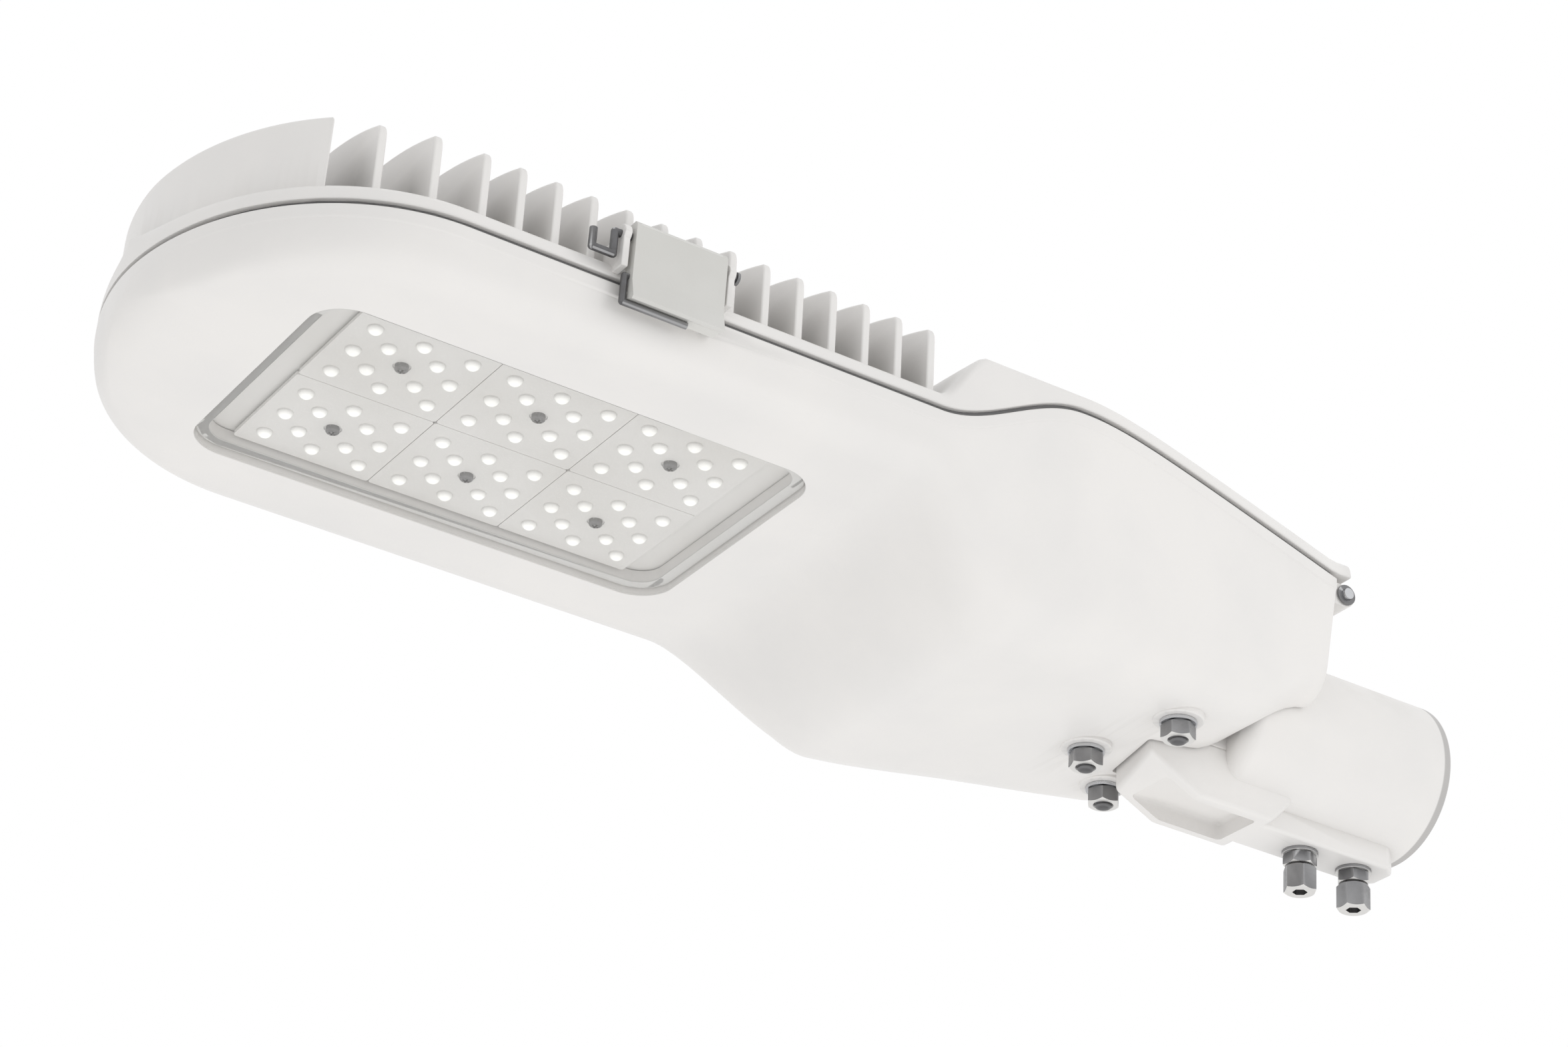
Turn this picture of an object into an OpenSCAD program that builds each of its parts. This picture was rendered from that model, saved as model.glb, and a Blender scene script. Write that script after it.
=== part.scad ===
// Street lantern: a flat LED head with a finned cover, carried by a collar on a pole.
// The origin is on the collar's axis, in the plane of its mouth. +Z is up and the
// nose points along -X, so the lantern looks down with its window along -Z.

/* [Overall] */
// Length from the nose tip to the collar's mouth
total_len = 624; // [600:1:650]
// Width across the head
head_w = 222; // [214:1:236]
// Length of the rounded nose
nose_len = 90; // [84:1:96]
// Length of the collar that stands out behind the tail
collar_out = 84; // [80:1:88]
// Length of the tapering tail
tail_len = 172; // [166:1:178]
// Width of the tail at its rear end
tail_end_w = 122; // [118:1:128]
// Length of the step in which the split line climbs to the tail
step_len = 68; // [60:1:72]
// Wall of the two castings
wall = 3.5; // [3:0.1:4]

/* [Heights] */
// Height of the split line along the head
split_head_z = 26.5; // [25:0.5:28]
// Height of the split line at the front of the tail
split_tail_z = 50; // [48.5:0.5:51.5]
// Rise of the split line from there to the tail's rear edge
split_rise = 4; // [3:0.5:5]
// Height of the band round the cover's edge along the head
band_head_h = 9.5; // [9:0.5:11]
// Height of the band round the cover's edge along the tail
band_tail_h = 10; // [9:0.5:12]
// Height of the cover's crown above its band
crown_h = 6; // [4:0.5:8]
// Height of the underside of the head
belly_head_z = 4; // [3.5:0.1:4.5]
// Height of the underside where the tail is deepest
belly_tail_z = -42; // [-45:0.5:-40]
// Height of the underside at the pole bolts
belly_seat_z = -27; // [-28:0.2:-26]
// Height of the underside at the tail's rear edge
belly_end_z = -1; // [-4:0.5:1]
// Gap between the two castings, filled by the rim gasket
split_gap = 2.2; // [1.4:0.1:2.6]

/* [Window and light] */
// Distance from the nose tip to the middle of the window
window_from_nose = 165; // [162:1:170]
// Length of the glass
glass_l = 216; // [212:1:220]
// Width of the glass
glass_w = 132; // [130:1:136]
// Corner radius of the glass
glass_r = 16; // [12:1:20]
// Thickness of the glass
glass_t = 3; // [3:0.1:3.4]
// Width of the ledge that the glass is bonded to
ledge_w = 5; // [4:0.5:6]
// Distance between neighbouring lens plates
plate_pitch = 60; // [59.5:0.1:60.5]
// Side of a square lens plate
plate_side = 58; // [56:0.5:58.5]
// Distance between lens rows along the head
lens_pitch_x = 10.4; // [10:0.1:10.6]
// Distance between lens rows across the head
lens_pitch_y = 19; // [18:0.1:19.4]
// Radius of one lens
lens_r = 4.6; // [4:0.1:4.8]

/* [Heat sink] */
// Thickness of a fin
fin_t = 3.6; // [3:0.1:4.5]
// Distance between fins
fin_pitch = 15.45; // [15:0.05:15.7]
// Distance between the first fins behind the nose cap
fin_pitch_nose = 20; // [19:0.5:21]
// Number of fins
fin_count = 16; // [10:1:17]
// Height of the fin tips at their outer ends
fin_edge_z = 66.5; // [64:0.5:68]
// Height of the fin tips in the middle
fin_mid_z = 81; // [77:0.5:82]
// Height of the nose cap's edge at its rear end
cap_edge_z = 68; // [66:0.5:69]
// Fall of the nose cap's edge towards the nose
cap_fall = 1; // [0:0.5:3]
// Rise of the nose cap's middle above its edge
cap_rise = 12; // [8:0.5:14]
// Distance of the nose cap's wall from the outline
cap_inset = 5; // [4:0.5:7]
// Length of the smooth nose cap
cap_len = 41; // [38:1:43]

/* [Latch] */
// Width of the latch
latch_w = 40; // [34:1:44]
// Distance from the nose tip to the middle of the latch
latch_from_nose = 174; // [168:1:180]
// Radius of the latch pin
latch_pin_r = 1.6; // [1.4:0.1:1.8]

/* [Pole collar] */
// Diameter of the pole spigot that the collar takes
spigot_d = 60; // [58:0.5:60.5]
// Radial clearance between the spigot and the bore
spigot_gap = 1; // [0.5:0.1:1.2]
// Outer diameter of the collar
collar_d = 76; // [74:0.5:78]
// Depth of the bore
bore_depth = 98; // [94:1:100]
// Half width of the neck between the collar and the tail's floor
neck_half_w = 18; // [16:0.5:20]
// Half width of the rib under the collar
rib_half_w = 11; // [10:0.5:13]
// Depth of the rib's underside below the axis
rib_z = 47; // [45:0.5:49]
// Thread diameter of the bolts and clamp screws
bolt_d = 8; // [7:0.5:8.5]
// Distance from the front pole bolt back to the rear pair
bolt_run = 25; // [24:0.5:26]
// Half the distance between the rear pair of pole bolts
bolt_half = 39; // [38:0.5:40]
// Angle by which the triangle of pole bolts is turned
bolt_turn = 13; // [12:0.5:14]
// Distance between the two clamp screws
clamp_pitch = 30; // [28:1:34]

/* [Hinge] */
// Radius of the hinge pin
hinge_pin_r = 2.5; // [2.2:0.1:2.8]
// Running clearance round a pin
pin_gap = 0.05; // [0.02:0.01:0.1]
// Radius of the hinge knuckles
knuckle_r = 5.2; // [4.8:0.1:5.4]

/* [Hidden] */

white = "#f1efec";
dark_steel = "#5c5c5e";
bright_steel = "#b9bcc0";

// Stations along X
nose_x = -total_len;
nose_cx = nose_x + nose_len;
tail_x = -collar_out;
shoulder_x = tail_x - tail_len;
step_x = shoulder_x - step_len;
window_x = nose_x + window_from_nose;
latch_x = nose_x + latch_from_nose;
slope_x0 = step_x - 8;
slope_x1 = shoulder_x - 8;
seat_x = tail_x - 49;
head_half = head_w / 2;
tail_half = tail_end_w / 2;

// Smooth steps and blends between two values
function clamp01(t) = max(0, min(1, t));
function smooth(t) = let (c = clamp01(t)) c * c * (3 - 2 * c);
function blend(a, b, t) = a + (b - a) * t;
function softened(t, e) = (sqrt(t * t + e * e) - e) / (sqrt(1 + e * e) - e);

// Half width of the plan outline at x, drawn in by an inset
function half_w(x, inset = 0) =
    let (nose_half = nose_len - inset, side = head_half - inset)
    x < nose_cx ? side * sqrt(max(0, 1 - pow((x - nose_cx) / nose_half, 2)))
    : x < shoulder_x ? side
    : blend(side, tail_half - inset, softened(clamp01((x - shoulder_x) / tail_len), 0.15));

// Height of the split line, and of the underside, at x
function split_z(x) = blend(split_head_z, split_tail_z, smooth((x - step_x) / step_len))
    + split_rise * max(0, (x - shoulder_x) / tail_len);
function belly_z(x) =
    let (fall = smooth((x - slope_x0) / (slope_x1 - slope_x0)),
         rise = clamp01((x - slope_x1) / (seat_x - slope_x1)),
         lift = smooth((x - seat_x) / (tail_x - seat_x)))
    blend(belly_head_z, belly_tail_z, fall) + rise * (belly_seat_z - belly_tail_z)
    + lift * (belly_end_z - belly_seat_z);

// How far the flank leans in, and the radius of the lower corner, at x
function lean(x) = x < slope_x1
    ? blend(4, 24, smooth((x - slope_x0) / (slope_x1 - slope_x0)))
    : blend(24, 9, smooth((x - slope_x1) / (tail_x - slope_x1)));
function corner_r(x) = x < slope_x1
    ? blend(17, 34, smooth((x - slope_x0) / (slope_x1 - slope_x0)))
    : blend(34, 16, smooth((x - slope_x1) / (tail_x - slope_x1)));

// Points on a quadratic curve from a to c that is pulled towards b
function curve(a, b, c, n) = [for (i = [0 : n])
    let (t = i / n) a * pow(1 - t, 2) + b * 2 * t * (1 - t) + c * t * t];
function toward(a, b, d) = a + (b - a) * min(1, d / max(0.001, norm(b - a)));
function mirrored(half) = concat(half, [for (i = [len(half) - 2 : -1 : 0]) [-half[i][0], half[i][1]]]);

// Section of the lower casting at x: rim, flank, round corner and flat underside
function lower_half(x, inset, floor_up, top_up) =
    let (w = half_w(x, inset), p = split_z(x) + top_up,
         nose_rise = 1 - sqrt(max(0, 1 - pow(1 - clamp01((x - nose_x - inset) / 20), 2))),
         b = blend(belly_z(x) + floor_up, split_z(x) - 6, nose_rise * 0.8),
         corner = [w - min(lean(x), w * 0.2), b],
         r = min(corner_r(x) * (1 - inset * 0.04), w * 0.7, (p - b) * 0.8),
         rim = [w, p], mid = [0, b])
    concat([rim], curve(toward(corner, rim, r), corner, toward(corner, mid, r), 9), [mid]);

// Section of the cover at x: band, round edge and crowned top
function cover_band_z(x) = blend(split_head_z + band_head_h, split_tail_z + band_tail_h,
    smooth((x - step_x) / 22)) + split_rise * max(0, (x - shoulder_x) / tail_len);
function cover_mid_z(x) = cover_band_z(x) + crown_h;
function cover_half(x, inset, roof_down, foot_down) =
    let (w = half_w(x, inset), top = cover_band_z(x) - roof_down,
         foot = [w, split_z(x) + split_gap - foot_down], edge = [max(0, w - 1.2), top],
         mid = [0, cover_mid_z(x) - roof_down], r = min(5, w * 0.5))
    concat([foot], curve(toward(edge, foot, r), edge, toward(edge, mid, r), 4),
        [for (t = [0.25, 0.5, 0.75])
            let (a = toward(edge, mid, r))
            [a[0] * (1 - t), blend(a[1], mid[1], 1 - pow(1 - t, 2))]], [mid]);

// Stations: close together where the outline turns
function nose_stations(inset) = [for (a = [88, 82, 75, 68, 60, 52, 44, 36, 27, 18, 9])
    nose_cx - (nose_len - inset) * sin(a)];
function mid_stations() = concat([nose_cx, nose_cx + 60, window_x, step_x - 40],
    [for (i = [0 : 14]) step_x - 10 + i * (shoulder_x - step_x + 20) / 14]);
function tail_stations(end) = [for (i = [1 : 9]) shoulder_x + 10 + i * (end - shoulder_x - 10) / 9];
function stations(inset, end) = concat(nose_stations(inset), mid_stations(), tail_stations(end));

// Solid through a row of closed sections, each a list of [y, z]
module loft(xs, sections) {
    n = len(sections[0]);
    last = len(xs) - 1;
    points = [for (i = [0 : last]) for (p = sections[i]) [xs[i], p[0], p[1]]];
    sides = [for (i = [0 : last - 1]) for (j = [0 : n - 1])
        let (a = i * n + j, b = i * n + (j + 1) % n)
        for (f = [[a, b, a + n], [b, b + n, a + n]]) f];
    caps = concat([for (j = [1 : n - 2]) [0, j + 1, j]],
        [for (j = [1 : n - 2]) [last * n, last * n + j, last * n + j + 1]]);
    polyhedron(points, concat(sides, caps), convexity = 6);
}

module lower_loft(inset, floor_up, top_up, end) {
    xs = stations(inset, end);
    loft(xs, [for (x = xs) mirrored(lower_half(x, inset, floor_up, top_up))]);
}

module cover_loft(inset, roof_down, foot_down, end) {
    xs = stations(inset, end);
    loft(xs, [for (x = xs) [for (p = mirrored(cover_half(x, inset, roof_down, foot_down)))
        [-p[0], p[1]]]]);
}

// Ring that follows the plan outline between two insets
function outline(inset, end) = let (xs = stations(inset, end))
    concat([for (x = xs) [x, half_w(x, inset)]],
        [for (i = [len(xs) - 1 : -1 : 0]) [xs[i], -half_w(xs[i], inset)]]);
module plan_ring(outer, inner, end) {
    difference() {
        polygon(outline(outer, end));
        polygon(outline(inner, end - (inner - outer)));
    }
}

// Slice of space that follows the split line, from one height above it to another
module split_band(low, high) {
    xs = concat([nose_x - 10], mid_stations(), tail_stations(tail_x + 10));
    rotate([90, 0, 0])
    linear_extrude(head_w + 20, center = true)
    polygon(concat([for (x = xs) [x, split_z(x) + low]],
        [for (i = [len(xs) - 1 : -1 : 0]) [xs[i], split_z(xs[i]) + high]]));
}

// Flat plate with round corners, standing on z = 0 round its middle
module round_plate(l, w, r, h) {
    translate([-l / 2 + r, -w / 2, 0]) cube([l - 2 * r, w, h]);
    translate([-l / 2, -w / 2 + r, 0]) cube([l, w - 2 * r, h]);
    for (sx = [-1, 1], sy = [-1, 1])
        translate([sx * (l / 2 - r), sy * (w / 2 - r), 0]) cylinder(r = r, h = h, $fn = 48);
}

module rod(r, h) { cylinder(r = r, h = h, $fn = 40); }
module hexagon(across, h) { cylinder(r = across / 2 / cos(30), h = h, $fn = 6); }
module along_x(x, y, z) { translate([x, y, z]) rotate([0, 90, 0]) children(); }
module along_y(x, y, z) { translate([x, y, z]) rotate([-90, 0, 0]) children(); }

// Width and thickness of the rim along the lower casting's edge
rim_w = 9;
rim_t = 5;

// Fixed sizes of the parts round the window
seal_t = 0.6;
glass_z = belly_head_z + 0.5;
ledge_z = glass_z + glass_t + seal_t;
ledge_t = 2.4;
lens_top_z = glass_z + glass_t + 0.4;
lens_z = lens_top_z + 2.8;
lens_t = 1.8;
board_z = lens_z + lens_t + 1;
board_t = 1.6;
carrier_z = board_z + board_t;
ceiling_z = split_head_z + band_head_h - 4;
board_l = 3 * plate_pitch + 34;
board_w = 2 * plate_pitch + 18;

// Sizes of the large fasteners, all from their thread, and of the small screws
nut_across = 1.625 * bolt_d;
nut_h = 0.85 * bolt_d;
head_h = 0.6625 * bolt_d;
washer_r = bolt_d;
washer_t = 0.2 * bolt_d;
stub_h = 1.75 * bolt_d;
hole_gap = 0.3;
screw_r = 1.6;
screw_head_r = 3.4;
screw_head_h = 2.2;

// Places of the pole bolts, the two clamp screws, the tray posts and the breather
breather = [49, 18];
bolt_x = tail_x - 87;
function turned(x, y) = [bolt_x + x * cos(bolt_turn) + y * sin(bolt_turn),
    y * cos(bolt_turn) - x * sin(bolt_turn)];
bolt_places = [[bolt_x, 0], turned(bolt_run, bolt_half), turned(bolt_run, -bolt_half)];
pad_r = 11;
function pad_z(p) = belly_z(p[0] - pad_r) - 0.7;
tongue_z = belly_seat_z + 5.8;
tongue_t = 7;
clamp_places = [-25, -25 - clamp_pitch];
hinge_x = tail_x + knuckle_r + 1.8;
hinge_z = split_tail_z + split_rise - knuckle_r - 0.2;
tray_z = 2;
tray_t = 1.5;
tray_x0 = shoulder_x - 22;
tray_x1 = tail_x - 52;
tray_wide_x = tail_x - 100;
driver_l = 100;
tray_half = driver_l / 2 + 16;
tray_tail_half = tail_half - 9;
post_places = [for (s = [-1, 1]) each [[tray_x0 + 8, s * (tray_half - 8)],
    [tray_wide_x - 12, s * (tray_half - 16)]]];
neck_x = turned(bolt_run, 0)[0];

// Sizes of the cable gland, and the collar's end wall that holds it in a recess
gland_across = 24;
gland_r = 10;
gland_hole_r = 5;
gland_nut_t = 5;
gland_wall = 6;
back_x = -bore_depth - gland_wall - gland_nut_t - 1;

// Hinge: where the outer and inner knuckles lie on each side, and half the pin's length
knuckle_out = [46, 58];
knuckle_in = [33, 45.5];
hinge_half = 61;

// Plan of the neck: its front edge runs parallel to the rear pair of bolts
function neck_plan(gap, end) = [[neck_x - gap - neck_half_w * tan(bolt_turn), -neck_half_w - gap],
    [end, -neck_half_w - gap], [end, neck_half_w + gap],
    [neck_x - gap + neck_half_w * tan(bolt_turn), neck_half_w + gap]];

module hinge_knuckle(s, span, foot) {
    l = span[1] - span[0];
    y = s > 0 ? span[0] : -span[1];
    difference() {
        union() {
            along_y(hinge_x, y, hinge_z) rod(knuckle_r, l);
            translate([foot[0], y, foot[1]]) cube([foot[2], l, foot[3]]);
        }
        along_y(hinge_x, y - 1, hinge_z) rod(hinge_pin_r + pin_gap, l + 2);
    }
}

// Bore for the pin through both knuckles, and through what their casting put into it
module hinge_bore(span) {
    for (s = [-1, 1])
        along_y(hinge_x, s > 0 ? span[0] - 4 : -span[1] - 4, hinge_z)
        rod(hinge_pin_r + pin_gap, span[1] - span[0] + 8);
}

module lower_housing() {
    color(white)
    difference() {
        union() {
            // Shell with the rim that the gasket lies on, cut off along the split line
            difference() {
                union() {
                    difference() {
                        lower_loft(0, 0, 1, tail_x);
                        lower_loft(wall, wall, 2, tail_x - wall);
                    }
                    intersection() {
                        translate([0, 0, -60]) linear_extrude(160)
                        plan_ring(wall - 1, rim_w, tail_x - wall + 1);
                        split_band(-rim_t, 0.5);
                    }
                }
                split_band(0, 30);
            }
            // Ledge round the window
            translate([window_x, 0, belly_head_z + 1])
            round_plate(glass_l + 14, glass_w + 14, glass_r + 6, ledge_z + ledge_t - belly_head_z - 1);
            // Pads for the pole bolts and posts for the gear tray
            for (p = bolt_places)
                translate([p[0], p[1], pad_z(p)]) rod(pad_r, tongue_z - pad_z(p));
            intersection() {
                lower_loft(1, 1, 0, tail_x - 1);
                for (p = post_places) translate([p[0], p[1], tray_z - 60]) rod(5, 60);
            }
            for (s = [-1, 1])
                hinge_knuckle(s, knuckle_out,
                    [tail_x - 1, hinge_z - knuckle_r, hinge_x - tail_x + 1, 2 * knuckle_r]);
            latch_ledge();
        }
        // Window: recess for the glass, then the opening through the ledge
        translate([window_x, 0, -20])
        round_plate(glass_l + 1, glass_w + 1, glass_r + 0.5, ledge_z + 20);
        translate([window_x, 0, -20])
        round_plate(glass_l - 2 * ledge_w, glass_w - 2 * ledge_w, glass_r - ledge_w, 60);
        // Slot and hole for the pole fitting
        translate([0, 0, -80]) linear_extrude(80 + tongue_z + tongue_t + 1)
        polygon(neck_plan(1.2, tail_x + 20));
        along_x(tail_x - 30, 0, 0) rod(collar_d / 2 + 1, 60);
        for (p = bolt_places)
            translate([p[0], p[1], -80]) rod(bolt_d / 2 + hole_gap + 0.2, 100);
        for (p = post_places)
            translate([p[0], p[1], tray_z - 8]) rod(screw_r, 20);
        hinge_bore(knuckle_out);
        along_x(tail_x - wall - 5, breather[0], breather[1]) rod(5.05, wall + 10);
    }
}

// Arch over the cover, 0 at its edges and 1 in the middle
function arch(t) = 1 - pow(abs(t), 2.7);

// Fin across the cover, centred on x
module fin(x) {
    w = half_w(x) - 6.5;
    top = [for (i = [-8 : 8]) let (t = i / 8)
        [t * (w - 1.5), fin_edge_z + (fin_mid_z - fin_edge_z) * arch(t)]];
    translate([x - fin_t / 2, 0, 0]) rotate([90, 0, 90]) linear_extrude(fin_t)
    polygon(concat([[w, ceiling_z + 2]], [for (i = [len(top) - 1 : -1 : 0]) top[i]],
        [[-w, ceiling_z + 2]]));
}
fin_x0 = nose_x + cap_len - 4;
function fin_x(i) = fin_x0 + fin_pitch_nose * min(i, 3) + fin_pitch * max(0, i - 3);

module upper_housing() {
    color(white)
    difference() {
        union() {
            difference() {
                cover_loft(0, 0, 0, tail_x + 8);
                // Hollow over the gear, under the hood
                intersection() {
                    cover_loft(wall, wall, 1, tail_x - wall);
                    translate([step_x + 16, -head_w, 0]) cube([400, 2 * head_w, 100]);
                }
                // Shallow hollow over the light, with a flat ceiling
                intersection() {
                    linear_extrude(ceiling_z)
                    polygon(outline(wall + 5, step_x + 30));
                    translate([nose_x, -head_w, 0]) cube([step_x + 20 - nose_x, 2 * head_w, 100]);
                }
            }
            nose_cap();
            for (i = [1 : fin_count]) fin(fin_x(i));
            for (s = [-1, 1])
                hinge_knuckle(s, knuckle_in,
                    [hinge_x - 5, hinge_z, 10, 16]);
            for (e = [-1, 1]) latch_lug(e);
        }
        hinge_bore(knuckle_in);
        for (p = carrier_places)
            translate([p[0], p[1], ceiling_z - 1]) rod(1.8, 8);
    }
}

// Smooth cap over the nose: its edge falls and its arch flattens towards the tip
cap_end = nose_x + cap_len;
function cap_half(x) = let (w = half_w(x, cap_inset),
        along = clamp01((x - nose_x - cap_inset) / (cap_len - cap_inset)))
    concat([[w, ceiling_z + 1]], [for (t = [1, 0.92, 0.8, 0.65, 0.45, 0.2, 0])
        [w * t, cap_edge_z - cap_fall * (1 - along) + cap_rise * sqrt(along) * arch(t)]]);
module nose_cap() {
    xs = concat([for (x = nose_stations(cap_inset)) if (x < cap_end - 2) x], [cap_end]);
    loft(xs, [for (x = xs) [for (p = mirrored(cap_half(x))) [-p[0], p[1]]]]);
}

// Latch on the near side, drawn in a plane whose first axis points out of the flank
latch_y = head_half + 4;
latch_z = split_head_z + 19;
latch_drop = 28.6;
ledge_top_z = latch_z - 21.5;
spring_r = 1.4;
spring_top_z = latch_z - 18;
module across_latch(x, l, points) {
    translate([x, 0, 0]) rotate([90, 0, 90]) linear_extrude(l)
    polygon([for (p = points) [-p[0], p[1]]]);
}
module latch_rod(x, out, z, r, l) { along_x(x, -out, z) rod(r, l); }

// Lug on the cover, at one end of the pin
module latch_lug(e) {
    x = latch_x + e * (latch_w / 2 + 3) - 1.5;
    difference() {
        union() {
            latch_rod(x, latch_y, latch_z, 4, 3);
            translate([x, -latch_y - 3, latch_z - 15]) cube([3, latch_y - head_half + 12, 15]);
        }
        latch_rod(x - 1, latch_y, latch_z, latch_pin_r + pin_gap, 5);
    }
}
module latch_ledge() {
    across_latch(latch_x - latch_w / 2 + 5, latch_w - 10, [[head_half - 3, ledge_top_z],
        [head_half + 1.6, ledge_top_z - 1.5], [head_half + 1.6, ledge_top_z - 4],
        [head_half - 4, ledge_top_z - 5]]);
}
module latch_clip() {
    y = latch_y;
    z = latch_z;
    color(white)
    difference() {
        union() {
            // Front with the flared lip, and the hook that reaches under the ledge
            across_latch(latch_x - latch_w / 2, latch_w, [[y - 2, z + 6], [y + 3, z + 6],
                [y + 4.5, z + 4], [y + 4.5, z - 20.5], [y + 6.6, z - latch_drop],
                [y + 5.6, z - latch_drop - 1], [y + 2.5, z - 28], [y - 2.2, z - 28],
                [y - 3.4, z - 25.9], [y + 2.3, z - 25.4], [y + 2.3, z + 3.6], [y - 2, z + 3.6]]);
            for (e = [-1, 1])
                across_latch(latch_x + e * (latch_w / 2 - 1) - 1, 2, [[y - 2, z + 5], [y + 4, z + 5],
                    [y + 4, z - 26.5], [y + 2.4, z - 26.5], [y - 2, z - 20]]);
        }
        latch_rod(latch_x - latch_w, y, z, latch_pin_r + pin_gap, 2 * latch_w);
        latch_rod(latch_x - latch_w / 2 - 1, y + 0.9, spring_top_z, spring_r, 4);
    }
}

// Pin with a head at one end and, at the other, a hook that keeps it from working out
module latch_pin() {
    l = latch_w + 12;
    hook = 9;
    x = latch_x - l / 2 - 1;
    r = latch_pin_r;
    color(dark_steel) {
        latch_rod(x, latch_y, latch_z, r, l + 1);
        latch_rod(latch_x + l / 2, latch_y, latch_z, r + 1, 1.2);
        latch_rod(x - hook, latch_y, latch_z - 10, r, hook);
        translate([x, -latch_y, latch_z - 10]) rod(r, 10);
        translate([x - hook, -latch_y, latch_z - 10]) rod(r, 8);
        for (p = [[x, 0], [x, -10], [x - hook, -10]])
            translate([p[0], -latch_y, latch_z + p[1]]) sphere(r = r, $fn = 24);
    }
}

// Wire spring: it runs under the clip's lip and enters the clip's cheek from outside
module latch_spring() {
    x = latch_x - latch_w / 2 - spring_r - 0.2;
    y = latch_y + 0.9;
    low = latch_z - 28 - spring_r;
    color(dark_steel) {
        latch_rod(x, y, low, spring_r, latch_w * 0.7);
        latch_rod(x, y, spring_top_z, spring_r, 4.5);
        translate([x, -y, low]) rod(spring_r, spring_top_z - low);
        for (z = [low, spring_top_z]) translate([x, -y, z]) sphere(r = spring_r, $fn = 24);
    }
}

module rim_gasket() {
    color("#3c3c3e")
    intersection() {
        translate([0, 0, -60]) linear_extrude(160) plan_ring(2.4, 6.4, tail_x - 2.4);
        split_band(0, split_gap);
    }
}

module window_glass() {
    color("#dfe3e2", 0.5)
    translate([window_x, 0, glass_z]) round_plate(glass_l, glass_w, glass_r, glass_t);
}

module glass_seal() {
    color("#8d8d8d")
    translate([window_x, 0, glass_z + glass_t])
    difference() {
        round_plate(glass_l, glass_w, glass_r, seal_t);
        translate([0, 0, -1])
        round_plate(glass_l - 2 * ledge_w, glass_w - 2 * ledge_w, glass_r - ledge_w, 3);
    }
}

carrier_places = [for (ix = [-1, 1], iy = [-1, 1]) [window_x + ix * 84.5, iy * 55.5]];
module led_carrier() {
    web_h = ceiling_z - carrier_z;
    color(bright_steel)
    difference() {
        translate([window_x - board_l / 2, 0, carrier_z]) rotate([90, 0, 90])
        linear_extrude(board_l) union() {
            translate([-board_w / 2, 0]) square([board_w, 4]);
            for (i = [-3 : 3]) translate([i * (board_w - 4) / 6 - 2, 0]) square([4, web_h]);
            for (s = [-1, 1]) translate([s * 50 - 9, web_h - 4]) square([18, 4]);
        }
        for (p = carrier_places)
            translate([p[0], p[1], carrier_z - 1]) rod(1.8, 60);
        for (p = plate_places)
            translate([p[0], p[1], carrier_z - 1]) rod(1.55, 6);
    }
}

module led_board() {
    color("#e4e4e0")
    difference() {
        translate([window_x, 0, board_z]) round_plate(board_l, board_w, 4, board_t);
        for (p = plate_places) translate([p[0], p[1], board_z - 1]) rod(1.7, 5);
        for (p = carrier_places) translate([p[0], p[1], board_z - 1]) rod(3.4, 5);
    }
}

// Middles of the six lens plates, and places of the twelve lenses in each
plate_places = [for (iy = [-0.5, 0.5], ix = [-1, 0, 1])
    [window_x + ix * plate_pitch, iy * plate_pitch]];
lens_places = concat([for (ix = [-2, 2], iy = [-1, 0, 1]) [ix * lens_pitch_x, iy * lens_pitch_y]],
    [for (ix = [-1, 1], iy = [-0.5, 0.5]) [ix * lens_pitch_x, iy * lens_pitch_y]],
    [for (iy = [-1, 1]) [0, iy * lens_pitch_y]]);

module led_chips() {
    color("#e8d878")
    for (p = plate_places, q = lens_places)
        translate([p[0] + q[0] - 1.75, p[1] + q[1] - 1.75, board_z - 0.7]) cube([3.5, 3.5, 0.7]);
}

module lens_plate(i) {
    p = plate_places[i];
    dome_h = lens_z - lens_top_z;
    dome_r = (lens_r * lens_r + dome_h * dome_h) / (2 * dome_h);
    color("#f6f8f8", 0.7)
    translate([p[0], p[1], 0])
    difference() {
        union() {
            translate([0, 0, lens_z]) round_plate(plate_side, plate_side, 4, lens_t);
            for (q = lens_places)
                intersection() {
                    translate([q[0], q[1], lens_top_z + dome_r]) sphere(r = dome_r, $fn = 32);
                    translate([q[0] - lens_r, q[1] - lens_r, lens_top_z - 1])
                    cube([2 * lens_r, 2 * lens_r, dome_h + 1.5]);
                }
            translate([0, 0, lens_z]) rod(3.5, board_z - lens_z);
        }
        translate([0, 0, lens_top_z - 2]) rod(1.7, 20);
    }
}
module lens_plate_1() { lens_plate(0); }
module lens_plate_2() { lens_plate(1); }
module lens_plate_3() { lens_plate(2); }
module lens_plate_4() { lens_plate(3); }
module lens_plate_5() { lens_plate(4); }
module lens_plate_6() { lens_plate(5); }

// Screw with a round head under z = 0 and its shank above
module pan_screw(head_r, head_h, r, l) {
    translate([0, 0, -head_h]) rod(head_r, head_h);
    translate([0, 0, -0.01]) rod(r, l);
}

module lens_screws() {
    color(dark_steel)
    for (p = plate_places) translate([p[0], p[1], lens_z])
        pan_screw(2.8, 1.6, 1.5, carrier_z - lens_z + 3.5);
}

module carrier_screws() {
    color(bright_steel)
    for (p = carrier_places) translate([p[0], p[1], carrier_z]) pan_screw(3.2, 2, 1.7, ceiling_z - carrier_z + 6);
}

module hinge_pin() {
    color(bright_steel) along_y(hinge_x, -hinge_half, hinge_z) rod(hinge_pin_r, 2 * hinge_half);
}
module hinge_rings() {
    color(dark_steel)
    for (s = [-1, 1])
        along_y(hinge_x, s > 0 ? knuckle_out[1] + 0.4 : -knuckle_out[1] - 1.4, hinge_z)
        difference() {
            rod(hinge_pin_r + 2.2, 1);
            translate([0, 0, -1]) rod(hinge_pin_r, 3);
        }
}

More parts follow.
